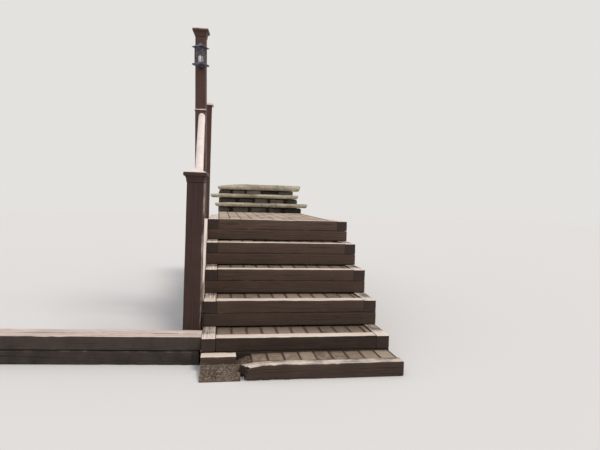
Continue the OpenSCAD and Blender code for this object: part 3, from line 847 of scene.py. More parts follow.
def candle_wax(name):
    """Poured white wax, soft and slightly see-through, with a faint mottling."""
    finish, add, place = new_finish(name, "grain")
    mottle = add("TexNoise", place, Scale=70.0, Detail=4.0)
    colour = add("Mix", mottle, srgb("#e6e2de"), srgb("#faf8f6"))
    bump = add("Bump", Height=mottle, Distance=0.0006, Strength=0.4)
    return surfaced(finish, Base_Color=colour, Normal=bump, Roughness=0.45, IOR=1.44, Subsurface_Weight=0.1,
                    Subsurface_Scale=0.004)


def colours():
    """The colours of the panel."""
    return bpy.context.scene.steps_colours


def step_timber():
    """The steps' timber."""
    return finish_named("stained_softwood_weathered", weathered_timber, "#32261f", colours().stain,
                        ("#c8b5a4", "#fbeee2"), ("#2b2320", "#463833"))


def kerb_timber_finish():
    """The kerb's rough timber."""
    return finish_named("greyed_softwood_rough_sawn", weathered_timber, "#2a2422", colours().kerb,
                        ("#a08d83", "#fbe9dd"), ("#292421", "#3f3832"), patches=0.95, algae=0.18)


def board_wood():
    """The skirt board's bare wood."""
    return finish_named("bare_softwood_bleached_pale", weathered_timber, "#7c6a60", "#a89488",
                        ("#d2c0b5", "#f3e4da"), ("#4a3d36", "#6d5c52"), lines=0.2)


def post_wood():
    """The posts' wood."""
    return finish_named("brown_stained_softwood_planed", weathered_timber, "#2b1a15", colours().posts,
                        ("#d3c2b9", "#fdf1ea"), ("#2c2321", "#463833"), ring_mm=14.0, lines=0.12, rough=0.55)


def paving_finishes():
    """The bed, the pavers and the grit in the bed, by the numbers that faces hold."""
    return [finish_named("earth_and_sand_trodden", trodden_earth, "#4f4238", "#8d7d6c", "#6f6053"),
            finish_named("clay_paver_weathered", fired_clay, ("#5b4e45", colours().clay, "#cbb8a4"), "#bba998",
                         "#4d4238"),
            finish_named("grit_stone", natural_stone, ("#4d4239", "#6c5e52", "#8a7c6d", "#a3968a"), 160.0, 30.0)]


# ---- settings -----------------------------------------------------------------------------------


length_setting = functools.partial(bpy.props.FloatProperty, subtype="DISTANCE", unit="LENGTH")


def colour_setting(code, **about):
    """A colour setting with its default in sRGB hex."""
    return bpy.props.FloatVectorProperty(**about, default=srgb(code)[:3], size=3, min=0, max=1, subtype="COLOR")


class GardenStepsTimber(bpy.types.PropertyGroup):
    """How the squared timbers are worn"""
    nosing: length_setting(name="Worn nosing", description="Radius of a step's worn front arris", default=0.007,
                           min=0.002, max=0.02)
    arris: length_setting(name="Arris", description="Radius of the other arrises", default=0.0045, min=0.001,
                          max=0.01)
    checks: bpy.props.IntProperty(name="Checks", description="Drying checks along each timber", default=6, min=0,
                                  max=12)
    chips: length_setting(name="Chips", description="Depth of the bits missing from the arrises", default=0.006,
                          min=0, max=0.012)


class GardenStepsPaving(bpy.types.PropertyGroup):
    """Sizes of the pavers and their bed"""
    width: length_setting(name="Paver width", description="Width of a paver and its joint", default=0.1, min=0.08,
                          max=0.15)
    length: length_setting(name="Paver length", description="Length of a paver and its joint", default=0.2,
                           min=0.15, max=0.3)
    joint: length_setting(name="Joint", description="Width of the joints", default=0.003, min=0.002, max=0.01)
    grit: length_setting(name="Largest grit", description="Size of the largest stones in the bed", default=0.014,
                         min=0.004, max=0.04)


class GardenStepsStone(bpy.types.PropertyGroup):
    """Joints and edges of the stonework"""
    joint: length_setting(name="Joint", description="Depth of the open joints of the rubble", default=0.03,
                          min=0.01, max=0.05)
    ragged: length_setting(name="Ragged edge", description="How far a slab's split edge goes in and out",
                           default=0.014, min=0, max=0.03)


class GardenStepsLantern(bpy.types.PropertyGroup):
    """Sizes of the lantern and its turn"""
    turn: bpy.props.FloatProperty(name="Turn", description="Turn of the lantern on its post",
                                  default=math.radians(65), subtype="ANGLE", unit="ROTATION")
    body: length_setting(name="Body", description="Side of the glazed body", default=0.074, min=0.05, max=0.1)
    plate: length_setting(name="Base plate", description="Side of the base plate and of the eaves", default=0.104,
                          min=0.08, max=0.12)
    bar: length_setting(name="Bar", description="Side of a corner bar", default=0.008, min=0.004, max=0.012)


class GardenStepsColours(bpy.types.PropertyGroup):
    """Main tones of the finishes"""
    stain: colour_setting("#624f43", name="Step stain", description="Lighter tone of the stained step timbers")
    kerb: colour_setting("#52463e", name="Kerb", description="Lighter tone of the kerb's greyed timbers")
    posts: colour_setting("#5d4138", name="Post stain", description="Lighter tone of the stained posts")
    paint: colour_setting("#f4e6e0", name="Rail paint", description="Paint of the handrail")
    clay: colour_setting("#84715f", name="Clay", description="Middle tone of the clay pavers")
    slab: colour_setting("#bdb29d", name="Slab stone", description="Main tone of the stone slabs")
    metal: colour_setting("#201c29", name="Lantern", description="Paint of the lantern's metal")


class GardenStepsStage(bpy.types.PropertyGroup):
    """Floor, light and camera"""
    floor: colour_setting("#e4e2df", name="Floor", description="Colour of the floor and the backdrop")
    sky: bpy.props.FloatProperty(name="Soft light", description="Strength of the even light from all round",
                                 default=0.6, min=0, max=2)
    key: bpy.props.FloatProperty(name="Key light", description="Strength of the large lamp above", default=1.5,
                                 min=0, max=5)
    lens: bpy.props.FloatProperty(name="Lens", description="Focal length of the camera", default=29.352, min=10,
                                  max=100)
    place: bpy.props.FloatVectorProperty(name="Camera", description="Place of the camera",
                                         default=(-0.5127, -3.1039, 1.0087), size=3, subtype="TRANSLATION",
                                         unit="LENGTH")
    aim: bpy.props.FloatVectorProperty(name="Aim", description="Camera's turn to the right, downward tilt and roll",
                                       default=[math.radians(a) for a in (9.364, 2.135, -1.512)], size=3,
                                       subtype="EULER", unit="ROTATION")


GROUPS = {"steps_timber": GardenStepsTimber, "steps_paving": GardenStepsPaving, "steps_stone": GardenStepsStone,
          "steps_lantern": GardenStepsLantern, "steps_colours": GardenStepsColours, "steps_stage": GardenStepsStage}


# ---- the pieces ---------------------------------------------------------------------------------


class GARDENSTEPS_OT_risers(bpy.types.Operator):
    """Front timbers of the five box steps, two to a riser"""
    bl_idname = "gardensteps.risers"
    bl_label = "Riser timbers"

    def execute(self, context):
        look = context.scene.steps_timber
        for step, shade in enumerate((-0.2, 0.35, 0.55, 0.7, 0.85), 1):
            for upper, course in enumerate(("lower", "upper")):
                node = f"riser_{step}_{course}"
                rng = np.random.default_rng(SEED["risers"] + step * 2 + upper)
                timber_piece(f"step_{step}_{course}_timber", "step_timber", step_timber(), node,
                             along_x(*box(node)), rng, arris=look.arris, nosing=look.nosing if upper else None,
                             checks=look.checks, chips=look.chips if upper else look.chips / 2,
                             worn_top=1.15 if upper else -0.3, soiled=0.8,
                             shade=shade if upper else shade - 0.15)
        return {"FINISHED"}


class GARDENSTEPS_OT_sides(bpy.types.Operator):
    """Stacked side timbers, ten courses on each side"""
    bl_idname = "gardensteps.sides"
    bl_label = "Side timbers"

    def execute(self, context):
        look = context.scene.steps_timber
        timber = box("riser_1_lower")[1][2]
        for number, side in enumerate(("left", "right")):
            low, high = box(f"{side}_side_timbers")
            work = Workpiece()
            for course in range(10):
                upper = course % 2
                near, far = box(f"riser_{course // 2 + 1}_" + ("upper" if upper else "lower"))
                front = near[1] if upper else far[1] + CLEARANCE
                top = near[2] + timber - CLEARANCE * (course > 0)
                place = along_y(np.array((low[0], front, near[2])), np.array((high[0], high[1], top)))
                rng = np.random.default_rng(SEED["sides"] + 20 * number + course)
                worn_top = (1.05, 0.45 if course < 9 else 0.75) if upper else -0.3
                squared_timber(work, *place, rng, look.arris, pitch=0.016, step=0.03, checks=5,
                               chips=look.chips * 0.7, worn_top=worn_top, shade=0.1 + 0.06 * course)
            work.piece(f"{side}_side_courses", [step_timber()], "step_timber", f"{side}_side_timbers")
        return {"FINISHED"}


class GARDENSTEPS_OT_low_step(bpy.types.Operator):
    """The low step in front, whose timber has rotted away at the left"""
    bl_idname = "gardensteps.low_step"
    bl_label = "Low step"

    def timbers(self):
        """The long timber, rotted at its left end, and the short one behind it."""
        low, high = box("low_front_timber")
        outline = corners("low_front_timber")
        foot = outline[outline[:, 2] < low[2] + NEAR]
        left = foot[foot[:, 0] < high[0] - 0.2]
        left = left[np.argsort(left[:, 1])]

        def rotted(points):
            """The left end follows the broken line of the solid, in splinters."""
            line = np.interp(points[:, 1] + low[1], left[:, 1], left[:, 0]) - low[0]
            flat = points * (0, 1, 1)
            large = unevenness(flat, (1, 0.012, 0.02), SEED["rot"])
            small = unevenness(flat, (1, 0.004, 0.005), SEED["rot"] + 1)
            fade = np.clip(1 - points[:, 0] / 0.22, 0, 1)
            moved = points.copy()
            moved[:, 0] += (line + (0.03 * large + 0.012 * small) + 0.01) * fade
            moved[:, 2] -= 0.018 * fade**2 * (points[:, 2] / (high[2] - low[2]))
            return moved + low

        for name, node, place, seed, look in (
            ("low_step_timber", "low_front_timber", (rotted, *(high - low)), SEED["low_step"],
             {"checks": 8, "worn_top": 0.64, "worn_front": 0.12, "soiled": 0.3}),
            ("low_step_stub", "low_stub_timber", along_x(*box("low_stub_timber")), SEED["low_step"] + 1,
             {"checks": 4, "worn_top": 1.4, "worn_front": 0.3}),
        ):
            timber_piece(name, "step_timber", step_timber(), node, place, np.random.default_rng(seed),
                         arris=0.006, nosing=0.012, depth=0.009, chips=0.012, **look)

    def execute(self, context):
        self.timbers()
        look = context.scene.steps_paving
        low, high = box("low_fill")
        stub_low, stub_high = box("low_stub_timber")
        left = stub_high[0] + CLEARANCE
        lost = 0.09  # width of the pavers missing at the left
        first = left + lost
        front = box("low_front_timber")[1][1] + 0.0006

        def laid(x, y):
            return high[2] - 0.001 - 0.012 * np.exp(-np.clip(x - first, 0, 1) / 0.05)

        def sunk(x, y):
            return laid(x, y) - 0.009 - 0.03 * np.clip((first - x) / lost, 0, 1) ** 1.5

        def slumped(x, y):
            return 0.006 + 0.038 * np.clip((y - low[1]) / (stub_low[1] - low[1] + 0.03), 0, 1) ** 0.7

        # the paving is darker towards its back edge, as on the treads: dirt and painted shade
        def soiled(y):
            return 0.5 * np.clip((y - high[1] + 0.06) / 0.06, 0, 1)

        work = Workpiece()
        rng = np.random.default_rng(SEED["low_step"] + 2)
        bed(work, np.array((left, front, 0)), high, sunk, 0.008, rng, 70, 0.004, look.grit * 0.6, 0.5)
        far = np.array((stub_high[0] + 0.02, stub_low[1] - CLEARANCE, high[2]))
        bed(work, np.array((low[0], low[1], 0)), far, slumped, 0.009, rng, 150, 0.005, look.grit * 1.4)
        paved(work, np.array((first, front, 0)), high, laid, first, (look.width, look.length), look.joint, rng,
              (0.3, 0.75), soiled)
        work.piece("low_step_paving", paving_finishes(), "brick_paving", "low_fill")
        return {"FINISHED"}


class GARDENSTEPS_OT_paving(bpy.types.Operator):
    """Brick paving of the treads and the landing"""
    bl_idname = "gardensteps.paving"
    bl_label = "Brick paving"

    def execute(self, context):
        look = context.scene.steps_paving
        sunk = 0.0075  # how far the bed lies below the pavers' tops
        few, fine = 0.35, look.grit * 0.35
        for step in range(1, 5):
            low, high = box(f"tread_fill_{step}")
            riser = box(f"riser_{step + 1}_lower")[0][1]
            # the back of each tread, under the next riser, is painted darker, most on the lowest tread: dirt and
            # painted shade
            deepest = 0.7 if step == 1 else 0.45
            work = Workpiece()
            rng = np.random.default_rng(SEED["treads"] + step)
            limit = high.copy()
            limit[1] = riser + 0.01
            bed(work, low, limit, lambda x, y: high[2] - sunk + 0 * x, 0.009, rng, 60, 0.003, fine, few)
            limit[1] = riser - 0.0006
            paved(work, low, limit, lambda x, y: high[2] + 0 * x, low[0], (look.width, limit[1] - low[1]),
                  look.joint, rng, (0.25, 0.65),
                  lambda y: deepest * np.clip((y - low[1]) / (limit[1] - low[1]), 0, 1))
            work.piece(f"tread_paving_{step}", paving_finishes(), "brick_paving", f"tread_fill_{step}")
        low, high = box("landing_fill")
        edge = box("riser_5_upper")[1][2] - 0.004
        back = box("left_side_timbers")[1][1]

        def sloped(x, y):
            return edge + (high[2] - edge) * np.clip((y - low[1]) / (back - low[1]), 0, 1)

        work = Workpiece()
        rng = np.random.default_rng(SEED["landing"])
        bed(work, low, high, lambda x, y: sloped(x, y) - sunk, 0.013, rng, 500, 0.003, fine, few)
        # the landing's pavers take the lightest tones and are painted cleaner than the treads: painted sunlight
        paved(work, low, high, sloped, low[0], (look.width, look.length), look.joint, rng, (0.75, 1.0),
              lambda y: -0.25 + 0 * y, stagger=True)
        work.piece("landing_paving", paving_finishes(), "brick_paving", "landing_fill")
        return {"FINISHED"}


class GARDENSTEPS_OT_rubble(bpy.types.Operator):
    """Dry rubble under the stone slabs"""
    bl_idname = "gardensteps.rubble"
    bl_label = "Rubble"
    def faces(self, node, axis, way):
        """Low and high corners of the stones' outer faces on one side of the solid."""
        mesh, (low, high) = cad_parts[node].data, box(node)
        edge = low[axis] if way > 0 else high[axis]
        found = {}
        for face in mesh.polygons:
            spot = np.array([mesh.vertices[v].co for v in face.vertices])
            a, b = spot.min(0).round(4), spot.max(0).round(4)
            if b[axis] - a[axis] < 0.0005 and abs(a[axis] - edge) < 0.02 and abs(face.normal[axis]) > 0.9:
                found.setdefault((a[axis], a[2], b[2]), []).append((a, b))
        merged = []
        for group in found.values():
            for a, b in sorted(group, key=lambda pair: tuple(pair[0])):
                last = merged[-1] if merged else None
                level = last and np.allclose(last[0][[axis, 2]], a[[axis, 2]])
                if level and a[1 - axis] < last[1][1 - axis] + NEAR:
                    last[1] = np.maximum(last[1], b)
                else:
                    merged.append([a, b])
        return merged

    def front(self, node):
        """The same for the top course in front, between the joints cut into it."""
        low, high = box(node)
        points = corners(node)
        inner = (points[:, 0] > low[0] + 0.05) & (points[:, 0] < high[0] - 0.05)
        edge = points[(points[:, 1] < low[1] + NEAR) & inner]
        joints = np.unique(edge[edge[:, 2] > high[2] - NEAR][:, 0].round(4))
        level = edge[edge[:, 2] < high[2] - NEAR][:, 2].max()
        ends = np.concatenate([[low[0]], joints, [high[0]]]).reshape(-1, 2)
        return [[np.array((a, low[1], level)), np.array((b, low[1], high[2]))] for a, b in ends]

    def thick(self, face, axis, way):
        """A face taken 0.1 m into the wall."""
        low, high = face[0].astype(float), face[1].astype(float)
        (high if way > 0 else low)[axis] += 0.1 * way
        return [low, high]

    def execute(self, context):
        look = context.scene.steps_stone
        # the stones are near black, and the core that shows in the open joints darkest of all: partly the stone's
        # colour, partly painted shade under the slabs
        finish = finish_named("field_stone_dark", natural_stone, ("#1f1c18", "#39332b", "#575046", "#6f675b"),
                              60.0, 11.0)
        for number in (1, 2, 3):
            node = f"stone_riser_{number}"
            low, high = box(node)
            rng = np.random.default_rng(SEED["rubble"] + number)
            stones = [self.thick(face, 0, way) for way in (1, -1) for face in self.faces(node, 0, way)]
            ends = [self.thick(face, 1, 1) for face in self.front(node)]
            if number == 3:
                ends += [self.thick(face, 1, -1) for face in self.faces(node, 1, -1)]
            for end in ends:
                for stone in stones:
                    level = abs(end[0][2] - stone[0][2]) + abs(end[1][2] - stone[1][2]) < 0.012
                    reach = np.minimum(end[1], stone[1]) - np.maximum(end[0], stone[0])
                    if level and reach.min() > 0.005:
                        stone[0][:], stone[1][:] = np.minimum(end[0], stone[0]), np.maximum(end[1], stone[1])
                        break
                else:
                    stones.append(end)
            work = Workpiece()
            inner = np.array((look.joint, look.joint, 0.0))
            core_low, core_high = low + inner, high - inner - (0, 0, 0.004)
            cube, faces = SHELLS[4]
            core = (cube + 1) / 2 * (core_high - core_low) + core_low
            work.add(core, [faces], core, 0.0)
            for a, b in stones:
                snug = a - 0.002 * (a > low + NEAR), b + 0.002 * (b < high - NEAR)
                rough_stone(work, *snug, rng, rng.uniform(5.0, 9.0))
            work.piece(f"rubble_{number}", [finish], "rubble", node, crease=55)
        return {"FINISHED"}


class GARDENSTEPS_OT_slabs(bpy.types.Operator):
    """Three split stone slabs with ragged edges"""
    bl_idname = "gardensteps.slabs"
    bl_label = "Stone slabs"

    def edge(self, node, points=260):
        """Points along the solid's outline from above, and the way to its middle from each."""
        outline = corners(node)
        outline = outline[outline[:, 2] > box(node)[1][2] - NEAR][:, :2]
        centre = outline.mean(0)
        outline = outline[np.argsort(np.arctan2(*(outline - centre).T[::-1]))]
        closed = np.vstack([outline, outline[:1]])
        reach = np.concatenate([[0], np.cumsum(np.linalg.norm(np.diff(closed, axis=0), axis=1))])
        along = np.linspace(0, reach[-1], points, endpoint=False)
        edge = np.column_stack([np.interp(along, reach, closed[:, axis]) for axis in (0, 1)])
        return edge, centre, (centre - edge) / np.linalg.norm(centre - edge, axis=1, keepdims=True)

    def execute(self, context):
        ragged = context.scene.steps_stone.ragged
        finish = finish_named("flagstone_split", natural_stone, ("#3f3a33", "#8c8372", colours().slab, "#d8ccb6"),
                              75.0, 12.0, lichen="#ccc5b1")
        # the left end thins out, by feathering on the first two and by a long taper on the last
        for number, shade, fall, reach in ((1, 0.87, 0.01, 0.2), (2, 0.95, 0.012, 0.2), (3, 1.02, 0.034, 0.36)):
            node = f"stone_slab_{number}"
            low, high = box(node)
            edge, centre, inward = self.edge(node)
            seed = SEED["slabs"] + 10 * number

            def at(flat, z):
                return np.column_stack([flat, np.full(len(flat), z)])

            coarse = unevenness(at(edge, 0), (0.16, 0.16, 1), seed + 2)
            broken = 0.5 + 0.5 * unevenness(at(edge, 0), (0.07, 0.07, 1), seed + 5)
            rows, tones = [], []
            for k, z in enumerate(np.linspace(low[2] + 0.001, high[2] - 0.001, 8)):
                spot = at(edge, z)
                layers = unevenness(spot, (0.09, 0.09, 0.011), seed)
                chips = unevenness(spot, (0.025, 0.025, 0.008), seed + 1)
                split = layers * 0.6 + chips * 0.4
                ease = 0.006 * (k in (0, 7)) + 0.002
                # the lower half of the edge is cut back under the lip, and painted darker there as painted shade
                # under the overhang
                under = max(0.0, 1 - k / 4)
                back = ragged * (0.5 + 0.5 * coarse) + 0.006 * (0.5 + 0.5 * split) + ease
                back += 0.02 * under * (0.4 + broken)
                rows.append(spot + at(inward * back[:, None], 0))
                tones.append(np.full(len(edge), shade * (1 - 0.75 * under**0.7)))
            for share in (0.985, 0.95, 0.89, 0.8, 0.68, 0.54, 0.39, 0.24, 0.1):
                spot = at(centre + (edge - centre) * share, high[2])
                swell = unevenness(spot, (0.11, 0.09, 1), seed + 3)
                dents = unevenness(spot, (0.035, 0.03, 1), seed + 4)
                spot[:, 2] += swell * 0.003 + dents * 0.0014 - 0.0035
                spot[:, :2] += inward * ragged * 0.5 * share**6
                rows.append(spot)
                tones.append(np.full(len(edge), shade + 0.1))
            work = Workpiece()
            points = np.array(rows)
            thin = np.clip(1 - (points[..., 0] - low[0]) / reach, 0, 1) ** 1.4
            points[..., 2] -= fall * thin * (points[..., 2] - low[2]) / (high[2] - low[2])
            lofted(work, points, np.eye(4), (np.concatenate(tones), shade), [0.0] * len(rows), (1.0, 0.5))
            work.piece(f"slab_{number}", [finish], "flagstone", node, crease=50)
        return {"FINISHED"}


class GARDENSTEPS_OT_kerb(bpy.types.Operator):
    """Low kerb of four timbers and its end block"""
    bl_idname = "gardensteps.kerb"
    bl_label = "Kerb"

    def execute(self, context):
        look = context.scene.steps_timber
        post = post_frame("newel_post")[0]
        turned = np.array(Matrix.Rotation(math.atan2(post[1, 0], post[0, 0]), 4, "Z"))
        for number, name in enumerate(("upper_front", "upper_back", "lower_front", "lower_back", "end_block")):
            local = unplaced(corners("kerb_" + name), turned)
            low, high = local.min(0), local.max(0)
            size = high - low
            front = local[local[:, 1] < low[1] + 2 * NEAR][:, 0]
            back = local[local[:, 1] > high[1] - 2 * NEAR][:, 0]

            def cut(points):
                """Both ends follow the solid's own cuts."""
                share = np.clip(points[:, 1] / size[1], 0, 1)
                left = front.min() + (back.min() - front.min()) * share
                right = front.max() + (back.max() - front.max()) * share
                moved = points + low
                moved[:, 0] = left + points[:, 0] / size[0] * (right - left)
                return placed(moved, turned)

            rng = np.random.default_rng(SEED["kerb"] + number)
            # the lower course is darker: damp, and painted shade under the upper course
            upper = name.startswith("upper")
            timber_piece("kerb_end_timber" if name == "end_block" else f"kerb_{name}_timber", "weathered_timber",
                         kerb_timber_finish(), "kerb_" + name, (cut, *size), rng, arris=0.005,
                         nosing=0.008 if upper else 0.014, checks=9 if upper else 6, depth=0.01,
                         chips=look.chips * 1.5, swell=0.0016, worn_top=1.05 if upper else 0.0, worn_front=0.02,
                         shade=rng.uniform(0.3, 0.6) if upper else rng.uniform(0.0, 0.15))
        return {"FINISHED"}


def hip_rows(half, eaves, rise, first):
    """Half widths and heights of a four-sided top, from just over its eaves."""
    return [(half * (1 - s), eaves + rise * s) for s in (first, 0.15, 0.3, 0.45, 0.6, 0.75, 0.88, 0.96, 0.995)]


def crown_rows(width, out, height, hip):
    """Half widths and heights of a moulded post crown: bead, cove, cap edge and hipped top."""
    half = width / 2
    rows = [(half, 0.0), (half + out * 0.14, 0.0006), (half + out * 0.14, height * 0.075)]
    for angle in range(0, 91, 9):
        bend = math.radians(angle)
        rows.append((half + out * (0.14 + 0.68 * (1 - math.cos(bend))), height * (0.08 + 0.54 * math.sin(bend))))
    rows += [(half + out * wide, height * level) for wide, level in (
        (0.82, 0.645), (0.96, 0.65), (1, 0.68), (1, 0.8), (1, 0.95))]
    return rows + [(half + out - 0.002, height * 0.995)] + hip_rows(half + out, height, hip, 0.04)


class GARDENSTEPS_OT_newel(bpy.types.Operator):
    """Newel post and lantern post, each with its crown"""
    bl_idname = "gardensteps.newel"
    bl_label = "Newel and lantern post"

    def execute(self, context):
        # each post's right side is paled with the bleached tone as painted light, where the sun falls on it
        for post, crown, name, shade, worn_far, greyed in (
            ("newel_post", "newel_crown", "newel", 0.0, 0.44, [0.1, 0.2, 0.25]),
            ("lamp_post", "lamp_post_crown", "lantern_post", 0.75, 0.1, [0.3, 0.5, 0.6]),
        ):
            matrix, width = post_piece(name, post, shade=shade, worn_far=worn_far, checks=2, depth=0.003,
                                       swell=0.0008, chips=0.002)
            lifted, half, foot, eaves, peak = on_post(crown, matrix)
            rows = crown_rows(width, half - width / 2, eaves - foot, peak - eaves)
            # the hips are painted pale: weathering, and painted light on their sky-lit slopes
            worn = [0.0] * (len(rows) - 12) + greyed + [0.95] * 9
            post_trim(name + "_cap", crown, lifted, rows, shade * 0.8, worn, 0.0025, uneven=0.004, seed=SEED[name])
        return {"FINISHED"}


class GARDENSTEPS_OT_upper_post(bpy.types.Operator):
    """Plain post beside the landing, and its cap"""
    bl_idname = "gardensteps.upper_post"
    bl_label = "Upper post"

    def execute(self, context):
        matrix, _ = post_piece("landing_post", "upper_post", shade=0.85, checks=3, depth=0.004, swell=0.0009,
                               chips=0.003)
        lifted, half, foot, eaves, peak = on_post("upper_post_cap", matrix)
        edge = eaves - foot
        rows = [(half - 0.003, 0.0), (half, 0.002), (half, edge * 0.5), (half, edge - 0.001)]
        rows += hip_rows(half, edge, peak - eaves, 0.03)
        # the cap's edge and top are painted pale: weathering, and painted light where the sun catches them
        post_trim("landing_post_cap", "upper_post_cap", lifted, rows, 0.5, [0.6, 0.9, 1.05] + [1.1] * 10,
                  uneven=0.004, seed=SEED["landing_post"] + 1)
        return {"FINISHED"}


class GARDENSTEPS_OT_band(bpy.types.Operator):
    """Trim band round the lantern post, where the rail lands"""
    bl_idname = "gardensteps.band"
    bl_label = "Trim band"

    def execute(self, context):
        matrix, width, _ = post_frame("lamp_post")
        lifted, half, foot, _, peak = on_post("lamp_post_band", matrix)
        rise, inner = peak - foot, width / 2 + CLEARANCE
        rows = [(inner, 0.0), (half - 0.001, 0.0), (half, 0.001), (half, rise * 0.4), (half - 0.0005, rise * 0.7),
                (half - 0.002, rise - 0.0008), (half - 0.0032, rise), (inner, rise)]
        post_trim("lantern_post_band", "lamp_post_band", lifted, rows, 0.9,
                  [0.0, 0.0, 0.1, 0.3, 0.45, 0.6, 0.9, 0.9])
        return {"FINISHED"}


class GARDENSTEPS_OT_skirt(bpy.types.Operator):
    """Sloping board along the left side of the flight"""
    bl_idname = "gardensteps.skirt"
    bl_label = "Skirt board"

    def execute(self, context):
        points = corners("skirt_board")
        low, high = points.min(0), points.max(0)
        near = points[points[:, 1] < low[1] + NEAR][:, 2]
        foot, head = near.min(), points[points[:, 1] > high[1] - NEAR][:, 2].min()
        run = high[1] - low[1]

        def sloped(p):
            rise = (head - foot) * p[:, 0] / run
            return np.column_stack([high[0] - p[:, 1], low[1] + p[:, 0], foot + rise + p[:, 2]])

        timber_piece("skirt", "weathered_timber", board_wood(), "skirt_board",
                     (sloped, run, high[0] - low[0], near.max() - foot), np.random.default_rng(SEED["skirt"]),
                     arris=0.004, pitch=0.016, step=0.02, checks=6, depth=0.004, chips=0.005, worn_top=(-0.6, 1.0),
                     worn_front=0.75)
        return {"FINISHED"}


class GARDENSTEPS_OT_rail(bpy.types.Operator):
    """Round-topped handrail from the newel to the lantern post"""
    bl_idname = "gardensteps.rail"
    bl_label = "Handrail"

    def execute(self, context):
        points = corners("handrail")
        low, high = points.min(0), points.max(0)
        head = points[points[:, 1] > high[1] - 0.012]
        toe = points[points[:, 1] < low[1] + 2 * NEAR]
        half = (head[:, 0].max() - head[:, 0].min()) / 2
        crest = np.array([[toe[:, 0].mean(), low[1], toe[:, 2].max()], [head[:, 0].min() + half, high[1], high[2]]])
        tilt = math.atan2(crest[1, 2] - crest[0, 2], crest[1, 1] - crest[0, 1])
        thick = 0.052 / math.cos(tilt)
        # its section: a flat foot, straight sides and a round top
        side = [(half, s * (thick - half) - thick) for s in (0.3, 0.6, 0.9)]
        round_top = [(half * math.cos(a), half * math.sin(a) - half) for a in np.linspace(0.05, math.pi - 0.05, 17)]
        outline = np.array([
            (0.004 - half, -thick), (half - 0.004, -thick), (half - 0.001, 0.001 - thick), (half, 0.004 - thick),
            *side, *round_top, *((-x, z) for x, z in reversed(side)), (-half, 0.004 - thick),
            (0.001 - half, 0.001 - thick)])
        stations = np.concatenate([[0, 0.002, 0.006], np.linspace(0.02, 0.985, 70), [0.994, 0.998, 1.0]])
        length = np.linalg.norm(crest[1] - crest[0])
        rows = []
        for share in stations:
            near = min(share, 1 - share) * length
            shrink = 1 - 0.05 * max(0.0, 1 - near / 0.004) ** 2
            ring = np.column_stack([outline[:, 0] * shrink, np.zeros(len(outline)), outline[:, 1] * shrink])
            rows.append(ring + (crest[0] + (crest[1] - crest[0]) * share))
        rows = np.array(rows)
        flat = rows.reshape(-1, 3)
        flat[:, 0] += unevenness(flat, (0.04, 0.2, 0.04), SEED["rail"]) * 0.0007
        # its foot lies on the newel's crown
        newel = post_frame("newel_post")[0]
        _, reach, _, eaves, peak = on_post("newel_crown", newel)
        seen = unplaced(flat, newel)
        over = np.maximum(np.abs(seen[:, 0]), np.abs(seen[:, 1]))
        surface = peak - (peak - eaves) * over / reach + 0.0006
        on_crown = (over < reach) & (flat[:, 1] < crest[0, 1] + 0.08)
        flat[:, 2] += np.where(on_crown, np.maximum(surface - seen[:, 2], 0), 0)
        rise = (flat[:, 2] - flat[:, 1] * math.tan(tilt)) * math.cos(tilt)
        work = Workpiece()
        work.add(flat, [skin(len(rows), len(outline))[:, ::-1]],
                 np.column_stack([flat[:, 1] / math.cos(tilt), flat[:, 0], rise]))
        for end, flip in ((0, False), (-1, True)):
            work.add(*end_cap(rows[end], flip))
        finish = finish_named("cream_paint_worn_on_softwood", worn_paint, colours().paint, "#cfbfb5", "#9a897c")
        work.piece("rail", [finish], "rail_wood", "handrail")
        return {"FINISHED"}


